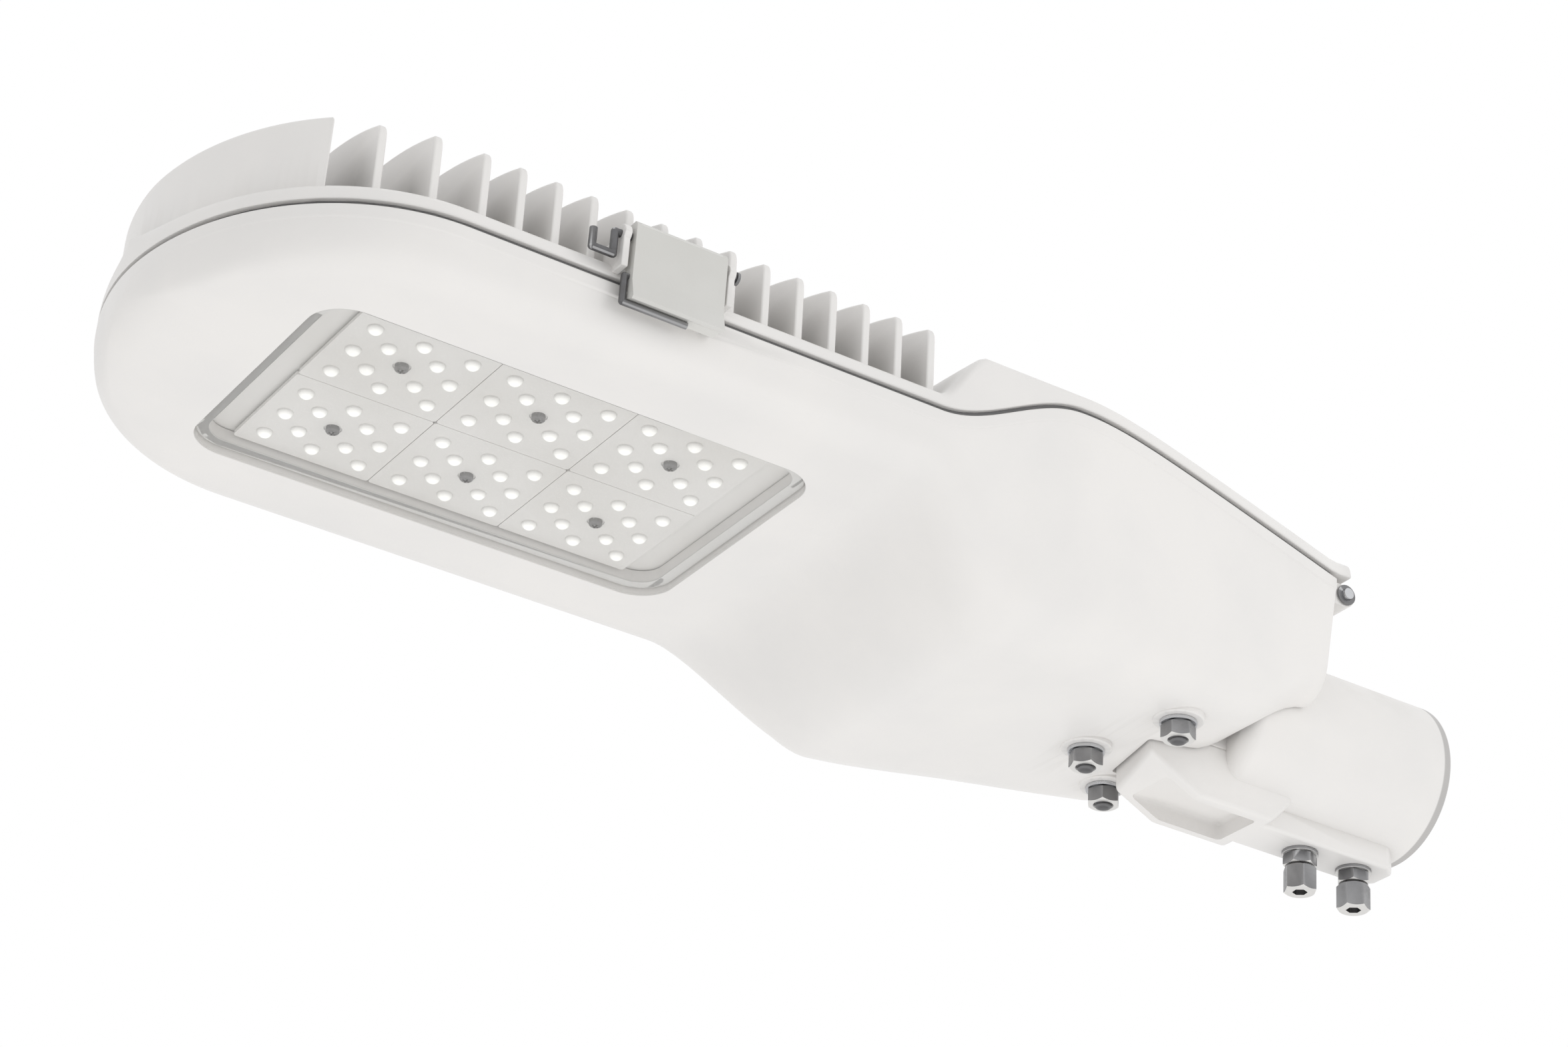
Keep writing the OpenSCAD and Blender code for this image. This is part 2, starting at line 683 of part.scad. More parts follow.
// Plan of the tongue: it takes the three bolts and narrows to the collar
function tongue_plan() = let (a = bolt_places[1], b = bolt_places[2], c = bolt_places[0],
        r = pad_r, e = 0.4 * pad_r, rear_x = a[0] + r - 0.5)
    [[c[0] - r, e - r], [c[0] - r + e, -r], [b[0] + 1 - r, b[1] - e], [b[0] - e, b[1] - r + 2],
        [b[0] + e, b[1] - r + 2], [b[0] + r - 0.5, b[1] - e], [rear_x, -neck_half_w],
        [back_x + 4, -neck_half_w], [back_x + 4, neck_half_w], [rear_x, neck_half_w],
        [rear_x, a[1] + e], [a[0] + e, a[1] + r - 1], [a[0] - e, a[1] + r - 1], [a[0] - r, a[1] + e],
        [c[0] - r + e, r], [c[0] - r, r - e]];

// Collar, rib and inner tongue, cast in one
module pole_fitting() {
    bore_r = spigot_d / 2 + spigot_gap;
    color(white)
    difference() {
        union() {
            along_x(back_x, 0, 0) cylinder(r = collar_d / 2, h = -back_x, $fn = 96);
            // Neck that runs from the collar out to the bolts
            intersection() {
                translate([0, 0, -80]) linear_extrude(120) polygon(neck_plan(0, back_x + 36));
                rotate([90, 0, 0]) linear_extrude(2 * neck_half_w, center = true)
                polygon([[neck_x - 12, tongue_z + 1], [neck_x - 12, belly_seat_z - 3], [neck_x + 24, -rib_z],
                    [back_x + 26, -rib_z], [back_x + 36, -collar_d / 2 + 2],
                    [back_x + 36, tongue_z + 1]]);
            }
            // Rib that hangs under the collar and carries the clamp screws
            translate([0, 0, -collar_d / 2 + 6]) rotate([180, 0, 0]) linear_extrude(rib_z - collar_d / 2 + 6)
            polygon([[back_x, -rib_half_w], [-14, -rib_half_w], [-8, -rib_half_w + 5],
                [-8, rib_half_w - 5], [-14, rib_half_w], [back_x, rib_half_w]]);
            // Tongue that lies on the floor of the tail
            translate([0, 0, tongue_z]) linear_extrude(tongue_t) polygon(tongue_plan());
        }
        along_x(-bore_depth, 0, 0) cylinder(r = bore_r, h = bore_depth + 1, $fn = 96);
        // Hole for the cable gland, with the recess for its nut
        along_x(back_x - 1, 0, 0) rod(gland_r + 0.2, gland_wall + 2);
        along_x(back_x + gland_wall, 0, 0) rod(gland_across / 2 + 3, gland_nut_t + 2);
        // Hollow in the neck, open below
        translate([neck_x + 9, -neck_half_w + 5, -80])
        cube([48, 2 * neck_half_w - 10, 80 - collar_d / 2 - 1]);
        for (x = clamp_places) translate([x, 0, -80]) rod(bolt_d / 2 + hole_gap, 80);
        for (p = bolt_places) translate([p[0], p[1], -80]) rod(bolt_d / 2 + hole_gap, 100);
    }
}

module fitting_bolts() {
    top = tongue_z + tongue_t;
    color(dark_steel)
    for (p = bolt_places) translate([p[0], p[1], 0]) {
        translate([0, 0, top]) hexagon(nut_across, head_h);
        translate([0, 0, pad_z(p) - stub_h]) rod(bolt_d / 2, top - pad_z(p) + stub_h + 0.5);
    }
}
module fitting_washers() {
    color(bright_steel)
    for (p = bolt_places) translate([p[0], p[1], pad_z(p) - washer_t])
        difference() {
            rod(washer_r, washer_t);
            translate([0, 0, -1]) rod(bolt_d / 2, washer_t + 2);
        }
}
module fitting_nuts() {
    color(dark_steel)
    for (p = bolt_places) translate([p[0], p[1], pad_z(p) - washer_t - nut_h])
        difference() {
            hexagon(nut_across, nut_h);
            translate([0, 0, -1]) rod(bolt_d / 2, nut_h + 2);
        }
}
module clamp_screws() {
    color(dark_steel)
    for (x = clamp_places) translate([x, 0, 0]) {
        translate([0, 0, -rib_z - 2 * nut_h - head_h]) hexagon(nut_across, head_h + 0.1);
        translate([0, 0, -rib_z - 2 * nut_h])
        rod(bolt_d / 2, rib_z + 2 * nut_h - spigot_d / 2 - spigot_gap - 0.5);
    }
}
module clamp_locknuts() {
    color(dark_steel)
    for (x = clamp_places) translate([x, 0, -rib_z - nut_h])
        difference() {
            union() {
                hexagon(nut_across, nut_h);
                translate([0, 0, nut_h - washer_t]) rod(washer_r, washer_t);
            }
            translate([0, 0, -1]) rod(bolt_d / 2, nut_h + 2);
        }
}

module gear_tray() {
    color(bright_steel)
    difference() {
        union() {
            translate([tray_x0, -tray_half, tray_z]) cube([tray_wide_x - tray_x0, 2 * tray_half, tray_t]);
            translate([tray_x0, -tray_tail_half, tray_z]) cube([tray_x1 - tray_x0, 2 * tray_tail_half, tray_t]);
            translate([tray_x0, -tray_half, tray_z]) cube([tray_t, 2 * tray_half, 9]);
        }
        for (p = post_places) translate([p[0], p[1], tray_z - 1]) rod(screw_r + hole_gap, 5);
        for (p = ear_places) translate([p[0], p[1], tray_z - 1]) rod(screw_r + 0.05, 5);
    }
}
module tray_screws() {
    color(bright_steel)
    for (p = post_places) translate([p[0], p[1], tray_z + tray_t]) {
        rod(screw_head_r, screw_head_h);
        translate([0, 0, -8]) rod(screw_r, 8.1);
    }
}

// Bought gear on the tray: the driver and its two ears, the surge protector and the terminals
driver_x = tray_x0 + 4;
driver_w = 58;
driver_h = 30;
ear_l = 30;
ear_w = 10;
ear_t = 2;
ear_places = [for (s = [-1, 1]) [driver_x + driver_w / 2, s * (driver_l + ear_w) / 2]];
gear_x = driver_x + driver_w + 8;
surge = [48, 30, 22];
pole_pitch = 14.5;
terminal = [13, 32, 16];
module led_driver() {
    z = tray_z + tray_t;
    color("#d8d8d6")
    difference() {
        union() {
            translate([driver_x, -driver_l / 2, z]) cube([driver_w, driver_l, driver_h]);
            for (p = ear_places) translate([p[0] - ear_l / 2, p[1] - ear_w / 2, z])
                cube([ear_l, ear_w, ear_t]);
        }
        for (p = ear_places) translate([p[0], p[1], z - 1]) rod(screw_r + 0.4, 5);
    }
}
module driver_screws() {
    color(bright_steel)
    for (p = ear_places) translate([p[0], p[1], tray_z + tray_t + ear_t]) {
        rod(screw_head_r, screw_head_h);
        translate([0, 0, -ear_t - tray_t]) rod(screw_r, ear_t + tray_t + 0.1);
    }
}
module surge_protector() {
    color("#5d6b78")
    translate([gear_x, -14 - surge[1], tray_z + tray_t]) cube(surge);
}
module terminal_block() {
    z = tray_z + tray_t;
    color("#e9e7e0")
    difference() {
        union() {
            translate([gear_x, -4, z]) cube([3 * pole_pitch + 2.5, terminal[1] + 8, 3]);
            for (i = [0 : 2]) translate([gear_x + 2 + i * pole_pitch, 0, z]) cube(terminal);
        }
        for (i = [0 : 2], y = [0.25, 0.75])
            translate([gear_x + 2 + terminal[0] / 2 + i * pole_pitch, y * terminal[1], z + 6]) rod(2.6, 20);
    }
}
module cable_gland() {
    color("#4a4a4c")
    difference() {
        union() {
            along_x(back_x - 6, 0, 0) hexagon(gland_across, 6);
            along_x(back_x - 16, 0, 0) rod(gland_r - 0.5, 11);
            along_x(back_x - 1, 0, 0) rod(gland_r, gland_wall + gland_nut_t + 1);
        }
        along_x(back_x - 20, 0, 0) rod(gland_hole_r, 40);
    }
}
module gland_nut() {
    color("#4a4a4c")
    difference() {
        along_x(back_x + gland_wall, 0, 0) hexagon(gland_across, gland_nut_t);
        along_x(back_x + gland_wall - 1, 0, 0) rod(gland_r, gland_nut_t + 2);
    }
}
module earth_screw() {
    color("#c9a93c")
    translate([tray_x1 - 12, -20, tray_z + tray_t]) {
        hexagon(8, 4);
        translate([0, 0, 4]) rod(2, 6);
    }
}
module breather_plug() {
    color("#4a4a4c")
    along_x(tail_x - wall - 3, breather[0], breather[1]) {
        rod(5, wall + 4);
        translate([0, 0, wall + 3]) rod(8, 4);
    }
}

lower_housing();
upper_housing();
rim_gasket();
window_glass();
glass_seal();
led_carrier();
led_board();
led_chips();
lens_plate_1();
lens_plate_2();
lens_plate_3();
lens_plate_4();
lens_plate_5();
lens_plate_6();
lens_screws();
carrier_screws();
latch_clip();
latch_pin();
latch_spring();
hinge_pin();
hinge_rings();
pole_fitting();
fitting_bolts();
fitting_nuts();
fitting_washers();
clamp_screws();
clamp_locknuts();
gear_tray();
tray_screws();
led_driver();
driver_screws();
surge_protector();
terminal_block();
cable_gland();
gland_nut();
earth_screw();
breather_plug();
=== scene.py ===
"""Looks of a street lantern: castings, the light in its window, fasteners, finishes and stage."""

import math

import bmesh
import bpy
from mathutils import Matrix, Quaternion, Vector


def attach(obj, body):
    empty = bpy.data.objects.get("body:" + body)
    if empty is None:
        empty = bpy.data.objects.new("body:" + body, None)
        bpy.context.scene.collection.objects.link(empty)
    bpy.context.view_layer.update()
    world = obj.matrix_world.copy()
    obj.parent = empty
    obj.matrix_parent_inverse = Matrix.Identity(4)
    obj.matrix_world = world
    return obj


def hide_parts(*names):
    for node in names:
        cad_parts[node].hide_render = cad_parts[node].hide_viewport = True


bl_info = {
    "name": "Street Lantern",
    "version": (1, 0, 0),
    "blender": (4, 5, 0),
    "location": "View3D > Sidebar > Lantern",
    "description": "Builds the pieces and finishes of a street lantern around its packed model",
    "category": "Object",
}

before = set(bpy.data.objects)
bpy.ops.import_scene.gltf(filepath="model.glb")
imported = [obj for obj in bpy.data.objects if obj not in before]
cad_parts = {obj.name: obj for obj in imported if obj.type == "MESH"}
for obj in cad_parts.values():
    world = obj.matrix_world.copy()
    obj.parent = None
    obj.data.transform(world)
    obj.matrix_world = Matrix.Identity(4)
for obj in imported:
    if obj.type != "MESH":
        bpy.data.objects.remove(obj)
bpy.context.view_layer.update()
MM = 0.001

# Angles in radians that round an edge over a quarter turn
QUARTER = (0, 0.52, 1.05, 1.57)
SHORT_QUARTER = (0, 0.52, 1.05, 1.5)
FINE_QUARTER = (0, 0.4, 0.8, 1.2, 1.57)
WIDE_QUARTER = (0, 0.26, 0.52, 0.79, 1.05, 1.31, 1.57)

# Shares of a bolt's diameter that its hexagon, nut and washer take
HEX_ACROSS, HEX_HEAD_H, NUT_H, WASHER_T = 1.625, 0.6625, 0.85, 0.2
# The thread of the large bolts and the height of a rod's domed tip, in millimetres
THREAD_PITCH, THREAD_DEPTH, TIP_H = 1.25, 0.55, 0.9


def length(mm, words):
    """A length in metres that a user can change, written here in millimetres."""
    return bpy.props.FloatProperty(
        name=words.split(",")[0], description=words, default=mm * MM, unit="LENGTH"
    )


def colour(r, g, b, words):
    """A colour that a user can change."""
    return bpy.props.FloatVectorProperty(
        name=words.split(",")[0], description=words, default=(r, g, b, 1.0),
        size=4, subtype="COLOR", min=0, max=1,
    )


class LanternForm(bpy.types.PropertyGroup):
    """Sizes of the castings and the light."""

    total_len: length(624, "Total length, from the nose tip to the collar's mouth")
    head_w: length(222, "Head width, across the castings")
    nose_len: length(90, "Nose length, of the rounded end")
    collar_out: length(84, "Collar reach, behind the tail")
    tail_len: length(172, "Tail length, of the tapering end")
    tail_end_w: length(122, "Tail end width, at the rear edge")
    step_len: length(68, "Step length, over which the split line climbs")
    wall: length(3.5, "Wall, of the two castings")
    split_head_z: length(26.5, "Split height, along the head")
    split_tail_z: length(50, "Split height at the tail, at its front")
    split_rise: length(4, "Split rise, along the tail")
    split_gap: length(2.2, "Split gap, filled by the rim gasket")
    band_head_h: length(9.5, "Band height, round the cover along the head")
    band_tail_h: length(10, "Band height at the tail, round the cover")
    crown_h: length(6, "Crown height, of the cover above its band")
    belly_head_z: length(4, "Head underside, its height")
    belly_tail_z: length(-42, "Tail underside, its height where it is deepest")
    belly_seat_z: length(-27, "Seat underside, its height at the pole bolts")
    belly_end_z: length(-1, "End underside, its height at the rear edge")
    window_from_nose: length(165, "Window place, from the nose tip to its middle")
    glass_l: length(216, "Glass length, along the head")
    glass_w: length(132, "Glass width, across the head")
    glass_r: length(16, "Glass corner, its radius")
    glass_t: length(3, "Glass thickness, of the flat pane")
    ledge_w: length(5, "Ledge width, on which the glass is bonded")
    plate_pitch: length(60, "Plate pitch, between neighbouring lens plates")
    plate_side: length(59.7, "Plate side, of a square lens plate")
    lens_pitch_x: length(10.4, "Lens pitch along, between lens rows")
    lens_pitch_y: length(19, "Lens pitch across, between lens rows")
    lens_r: length(3.3, "Lens radius, of one dome")
    fin_t: length(3.6, "Fin thickness, of one fin")
    fin_pitch: length(15.45, "Fin pitch, between fins")
    fin_pitch_nose: length(20, "Nose fin pitch, between the first fins")
    fin_edge_z: length(66.5, "Fin end height, at the sides")
    fin_mid_z: length(81, "Fin middle height, over the axis")
    cap_edge_z: length(68, "Cap edge height, at the nose cap's rear end")
    cap_fall: length(1, "Cap fall, of the nose cap's edge towards the nose")
    cap_rise: length(12, "Cap rise, of the nose cap's middle above its edge")
    cap_inset: length(5, "Cap inset, from the outline")
    cap_len: length(41, "Cap length, of the smooth nose cap")
    latch_w: length(40, "Latch width, along the head")
    latch_from_nose: length(174, "Latch place, from the nose tip to its middle")
    spigot_d: length(60, "Spigot diameter, that the collar takes")
    collar_d: length(76, "Collar diameter, outside")
    bore_depth: length(98, "Bore depth, of the collar")
    neck_half_w: length(18, "Neck half width, between collar and tail")
    rib_half_w: length(11, "Rib half width, under the collar")
    rib_z: length(47, "Rib depth, below the axis")
    bolt_d: length(8, "Bolt diameter, of all large fasteners")
    bolt_run: length(25, "Bolt run, from the front bolt back to the rear pair")
    bolt_half: length(39, "Bolt half spread, of the rear pair")
    bolt_turn: bpy.props.FloatProperty(
        name="Bolt turn", description="Angle by which the bolt triangle is turned",
        default=math.radians(13), subtype="ANGLE",
    )
    clamp_pitch: length(30, "Clamp pitch, between the clamp screws")
    hinge_pin_r: length(2.5, "Hinge pin radius, of the cover's hinge")
    knuckle_r: length(5.2, "Knuckle radius, of the cover's hinge")


class LanternFinish(bpy.types.PropertyGroup):
    """Colours of the finishes."""

    coat: colour(0.82, 0.803, 0.784, "Powder coat, of the castings")
    coat_tint: colour(0.785, 0.772, 0.758, "Powder coat tint, in faint clouds")
    latch: colour(0.66, 0.655, 0.63, "Latch coat, of the stamped latch")
    glass: colour(0.80, 0.79, 0.77, "Window glass, its haze")
    bezel: colour(0.745, 0.735, 0.715, "Board, the pale edge round the lens plates")
    plate: colour(0.75, 0.74, 0.72, "Lens plate, between the lenses")
    lens: colour(0.95, 0.95, 0.93, "Lens, a lit dome")
    steel: colour(0.16, 0.16, 0.165, "Darkened steel, of nuts and screws")
    zinc: colour(0.62, 0.63, 0.65, "Zinc, of washers and sheet")
    aluminium: colour(0.70, 0.71, 0.73, "Raw aluminium, of the carrier")
    rubber: colour(0.16, 0.16, 0.162, "Rubber, of the rim gasket")
    sealant: colour(0.66, 0.655, 0.64, "Sealant, round the glass")
    floor: colour(0.86, 0.86, 0.86, "Floor, pale and plain")


class LanternStage(bpy.types.PropertyGroup):
    """Camera and light."""

    eye: bpy.props.FloatVectorProperty(
        name="Eye", description="Place of the camera", unit="LENGTH",
        default=(-1.00553, -1.16472, -0.71731),
    )
    turn: bpy.props.FloatProperty(
        name="Turn", description="Turn of the view from +Y towards +X",
        default=0.527252, subtype="ANGLE",
    )
    rise: bpy.props.FloatProperty(
        name="Rise", description="Upward tilt of the view", default=0.501747, subtype="ANGLE"
    )
    roll: bpy.props.FloatProperty(
        name="Roll", description="Roll of the view", default=0.07454, subtype="ANGLE"
    )
    lens: bpy.props.FloatProperty(
        name="Lens", description="Focal length", default=85.36, unit="CAMERA"
    )
    sky: bpy.props.FloatProperty(
        name="Sky", description="Strength of the even light", default=0.88, min=0
    )
    key: bpy.props.FloatProperty(
        name="Key", description="Power of the lamp under the head, in watts", default=12.2, min=0
    )
    fill: bpy.props.FloatProperty(
        name="Fill", description="Power of the lamp at the near side, in watts", default=6.0, min=0
    )
    floor_z: length(-1600, "Floor height, below the lantern")


def form():
    """Every size of LanternForm in millimetres, and the places that follow from them."""
    return Form(bpy.context.scene.lantern_form)


def finish():
    return bpy.context.scene.lantern_finish


def held(t):
    """A share held between 0 and 1."""
    return max(0.0, min(1.0, t))


def smooth(t):
    """A share eased at both ends."""
    t = held(t)
    return t * t * (3 - 2 * t)


def blend(a, b, t):
    return a + (b - a) * t


def towards(a, b, d):
    """The point at distance d from a on the way to b."""
    a, b = Vector(a), Vector(b)
    return a + (b - a) * min(1.0, d / max(1e-3, (b - a).length))


def bend(a, b, c, n):
    """Points on a quadratic curve from a to c that is pulled towards b."""
    a, b, c = Vector(a), Vector(b), Vector(c)
    return [a * (1 - t) ** 2 + b * 2 * t * (1 - t) + c * t * t
            for t in (i / n for i in range(n + 1))]


def arc(cx, cy, r, a0, a1, n):
    """Points on an arc, its angles in degrees."""
    steps = [math.radians(blend(a0, a1, i / n)) for i in range(n + 1)]
    return [(cx + r * math.cos(a), cy + r * math.sin(a)) for a in steps]


class Form:
    """Outline, split line and underside of the castings, in millimetres."""

    nose_round = 20
    lower_edge, cover_edge = 0.9, 0.8
    lip_h, lip_out = 5, 0.7
    rim_w, rim_t = 9, 5
    pad_r = 11
    tray_z = 2
    roof_t = 4
    # How far the underside leans inward at its corner and how round that corner is, along the part
    lean_head, lean_deep, lean_end = 4, 24, 9
    corner_head, corner_deep, corner_end = 17, 34, 16
    slope_ahead, seat_from_tail, bolt_from_tail = 8, 49, 87
    # The light from below: recess, bead, gap to the lenses, dome, plate and gap to the board
    glass_recess, bond_t, lens_gap, dome_h, plate_t, board_gap = 0.5, 0.6, 0.4, 2.8, 1.8, 1
    latch_out, latch_up, ledge_down = 4, 19, 21.5
    tongue_up, tongue_t = 5.8, 7
    clamp_from_mouth = 25
    # How far the pole bolts reach below their pads, without the domed tip
    bolt_below = 9.2

    def __init__(self, sizes):
        for name in type(sizes).__annotations__:
            setattr(self, name, getattr(sizes, name) / MM)
        self.bolt_turn = sizes.bolt_turn
        self.nose_x = -self.total_len
        self.nose_cx = self.nose_x + self.nose_len
        self.tail_x = -self.collar_out
        self.shoulder_x = self.tail_x - self.tail_len
        self.step_x = self.shoulder_x - self.step_len
        self.window_x = self.nose_x + self.window_from_nose
        self.latch_x = self.nose_x + self.latch_from_nose
        self.slope_x0 = self.step_x - self.slope_ahead
        self.slope_x1 = self.shoulder_x - self.slope_ahead
        self.seat_x = self.tail_x - self.seat_from_tail
        self.head_half = self.head_w / 2
        self.tail_half = self.tail_end_w / 2
        self.ceiling_z = self.split_head_z + self.band_head_h - self.roof_t
        self.glass_z = self.belly_head_z + self.glass_recess
        self.ledge_z = self.glass_z + self.glass_t + self.bond_t
        self.lens_top_z = self.glass_z + self.glass_t + self.lens_gap
        self.lens_z = self.lens_top_z + self.dome_h
        self.board_z = self.lens_z + self.plate_t + self.board_gap
        self.hinge_x = self.tail_x + self.knuckle_r + 1.8
        self.hinge_z = self.split_tail_z + self.split_rise - self.knuckle_r - 0.2
        self.latch_y = self.head_half + self.latch_out
        self.latch_z = self.split_head_z + self.latch_up
        self.ledge_top_z = self.latch_z - self.ledge_down
        self.bolt_x = self.tail_x - self.bolt_from_tail
        self.bolts = [
            (self.bolt_x, 0.0),
            self.turned(self.bolt_run, self.bolt_half),
            self.turned(self.bolt_run, -self.bolt_half),
        ]
        self.tongue_z = self.belly_seat_z + self.tongue_up
        self.clamps = [-self.clamp_from_mouth, -self.clamp_from_mouth - self.clamp_pitch]

    def turned(self, x, y):
        """A place in the bolt triangle, which is turned about the front bolt."""
        c, s = math.cos(self.bolt_turn), math.sin(self.bolt_turn)
        return (self.bolt_x + x * c + y * s, y * c - x * s)

    def pad_z(self, x):
        """Height of a bolt pad's face under the tail."""
        return self.belly_z(x - self.pad_r) - 0.7

    def half_w(self, x, inset=0.0):
        """Half width of the outline: round nose, straight head and tapering tail."""
        side = self.head_half - inset
        if x < self.nose_cx:
            along = (x - self.nose_cx) / (self.nose_len - inset)
            return side * math.sqrt(max(0.0, 1 - along ** 2))
        if x < self.shoulder_x:
            return side
        t, e = min(1.0, (x - self.shoulder_x) / self.tail_len), 0.15
        eased = (math.hypot(t, e) - e) / (math.hypot(1, e) - e)
        return blend(side, self.tail_half - inset, eased)

    def split_z(self, x):
        """Height at which the lower casting ends, with its step."""
        climb = smooth((x - self.step_x) / self.step_len)
        return blend(self.split_head_z, self.split_tail_z, climb) + self.tail_rise(x)

    def tail_rise(self, x):
        return self.split_rise * max(0.0, (x - self.shoulder_x) / self.tail_len)

    def slope(self, x):
        return smooth((x - self.slope_x0) / (self.slope_x1 - self.slope_x0))

    def belly_z(self, x):
        """Height of the underside on the axis."""
        rise = held((x - self.slope_x1) / (self.seat_x - self.slope_x1))
        lift = smooth((x - self.seat_x) / (self.tail_x - self.seat_x))
        low = blend(self.belly_head_z, self.belly_tail_z, self.slope(x))
        climb = rise * (self.belly_seat_z - self.belly_tail_z)
        return low + climb + lift * (self.belly_end_z - self.belly_seat_z)

    def lean(self, x):
        if x < self.slope_x1:
            return blend(self.lean_head, self.lean_deep, self.slope(x))
        return blend(self.lean_deep, self.lean_end,
                     smooth((x - self.slope_x1) / (self.tail_x - self.slope_x1)))

    def corner_r(self, x):
        if x < self.slope_x1:
            return blend(self.corner_head, self.corner_deep, self.slope(x))
        return blend(self.corner_deep, self.corner_end,
                     smooth((x - self.slope_x1) / (self.tail_x - self.slope_x1)))

    def lower_section(self, x, inset, floor_up, top_up, edge=0.0, n=16):
        """Half section of the lower casting: rim, flank, round corner and flat underside."""
        w, p = self.half_w(x, inset), self.split_z(x) + top_up
        ahead = held((x - self.nose_x - inset) / self.nose_round)
        nose = 1 - math.sqrt(max(0.0, 1 - (1 - ahead) ** 2))
        low = blend(self.belly_z(x) + floor_up, self.split_z(x) - 6, nose * 0.8)
        low = min(low, p - 0.5)
        corner, rim, mid = (w - min(self.lean(x), w * 0.2), low), (w, p), (0, low)
        r = min(self.corner_r(x) * (1 - inset * 0.04), w * 0.7, (p - low) * 0.8)
        top = [(w, p)]
        if edge:
            e, d = min(edge, w * 0.3), min(self.lip_out, w * 0.2)
            top = [(w - e + e * math.sin(a), p - e + e * math.cos(a)) for a in SHORT_QUARTER]
            top += [(w - d * (1 - math.cos(a)), p - self.lip_h - d * a) for a in (0, 0.5, 1.0, 1.5)]
            rim = (w - d, p - self.lip_h - 1.6 * d)
        return top + bend(towards(corner, rim, r), corner, towards(corner, mid, r), n) + [mid]

    def band_z(self, x):
        """Height of the cover's edge above its band."""
        climb = smooth((x - self.step_x) / 22)
        low, high = self.split_head_z + self.band_head_h, self.split_tail_z + self.band_tail_h
        return blend(low, high, climb) + self.tail_rise(x)

    def cover_section(self, x, inset, roof_down, foot_down, edge=0.0, n=10):
        """Half section of the cover: foot, band, round edge and crowned top."""
        w, top = self.half_w(x, inset), self.band_z(x) - roof_down
        foot_z = self.split_z(x) + self.split_gap - foot_down
        foot, rim = (w, foot_z), (max(0, w - 1.2), top)
        mid = (0, self.band_z(x) + self.crown_h - roof_down)
        r = min(5, w * 0.5)
        low = [foot]
        if edge:
            e = min(edge, w * 0.3)
            low = [(w - e + e * math.sin(a), foot_z + e - e * math.cos(a)) for a in SHORT_QUARTER]
        round_edge = bend(towards(rim, foot, r), rim, towards(rim, mid, r), n)
        start = round_edge[-1]
        crown = [(start[0] * (1 - t), blend(start[1], mid[1], 1 - (1 - t) ** 2))
                 for t in (i / n for i in range(1, n))]
        return low + round_edge + crown + [mid]

    def stations(self, inset=0.0, end=None, nose_steps=40):
        """Places along X, close together where the outline turns."""
        end = self.tail_x if end is None else end
        nose = [self.nose_cx - (self.nose_len - inset)
                * math.sin(math.radians(88 * (1 - i / nose_steps)))
                for i in range(nose_steps)]
        head = [blend(self.nose_cx, self.step_x - 12, i / 8) for i in range(8)]
        step = [blend(self.step_x - 12, self.shoulder_x + 12, i / 36) for i in range(36)]
        tail = [blend(self.shoulder_x + 12, end, i / 30) for i in range(31)]
        return nose + head + step + tail


# Making and joining meshes


def new_object(name, mesh):
    obj = bpy.data.objects.new(name, mesh)
    bpy.context.scene.collection.objects.link(obj)
    return obj


def solid(points, faces):
    """A mesh object from points in millimetres."""
    mesh = bpy.data.meshes.new("solid")
    mesh.from_pydata([Vector(p) * MM for p in points], [], faces)
    mesh.update()
    return new_object("solid", mesh)


def skin(rings):
    """A closed solid through rings of points, with flat ends."""
    n, last = len(rings[0]), len(rings) - 1
    faces = [
        (i * n + j, (i + 1) * n + j, (i + 1) * n + (j + 1) % n, i * n + (j + 1) % n)
        for i in range(last)
        for j in range(n)
    ]
    faces.append(tuple(range(n)))
    faces.append(tuple(last * n + j for j in reversed(range(n))))
    return outward(solid([p for ring in rings for p in ring], faces))


def outward(obj):
    """Turns all faces outward."""
    bm = bmesh.new()
    bm.from_mesh(obj.data)
    bmesh.ops.recalc_face_normals(bm, faces=bm.faces)
    bm.to_mesh(obj.data)
    bm.free()
    return obj


def mirrored(half):
    """A whole section from its half, as points (y, z)."""
    half = [(p[0], p[1]) for p in half]
    return half + [(-y, z) for y, z in reversed(half[:-1])]


def section_solid(xs, section):
    """A solid through the sections that a function gives at each place along X."""
    return skin([[(x, y, z) for y, z in mirrored(section(x))] for x in xs])


def prism(outline, low, high, axis="Z"):
    """An outline pushed along an axis: (y, z) along X, (x, z) along Y and (x, y) along Z."""
    place = {
        "X": lambda u, v, w: (w, u, v),
        "Y": lambda u, v, w: (u, w, v),
        "Z": lambda u, v, w: (u, v, w),
    }[axis]
    return skin([[place(u, v, w) for u, v in outline] for w in (low, high)])


def revolve(profile, origin, axis, steps):
    """A closed profile of (radius, height) turned round an axis through the origin."""
    ox, oy, oz = origin
    place = {
        "Z": lambda u, v, h: (ox + u, oy + v, oz + h),
        "X": lambda u, v, h: (ox + h, oy + u, oz + v),
        "Y": lambda u, v, h: (ox + v, oy + h, oz + u),
    }[axis]
    turns = [2 * math.pi * i / steps for i in range(steps)]
    points = [place(r * math.cos(a), r * math.sin(a), h) for a in turns for r, h in profile]
    n = len(profile)
    faces = []
    for i in range(steps):
        k = (i + 1) % steps
        for j in range(n):
            m = (j + 1) % n
            corner = [i * n + j, k * n + j, k * n + m, i * n + m]
            if profile[j][0] == 0:
                corner.remove(k * n + j)
            if profile[m][0] == 0:
                corner.remove(k * n + m)
            if len(corner) > 2:
                faces.append(tuple(corner))
    obj = solid(points, faces)
    bm = bmesh.new()
    bm.from_mesh(obj.data)
    bmesh.ops.remove_doubles(bm, verts=bm.verts, dist=1e-7)
    bmesh.ops.recalc_face_normals(bm, faces=bm.faces)
    bm.to_mesh(obj.data)
    bm.free()
    return obj


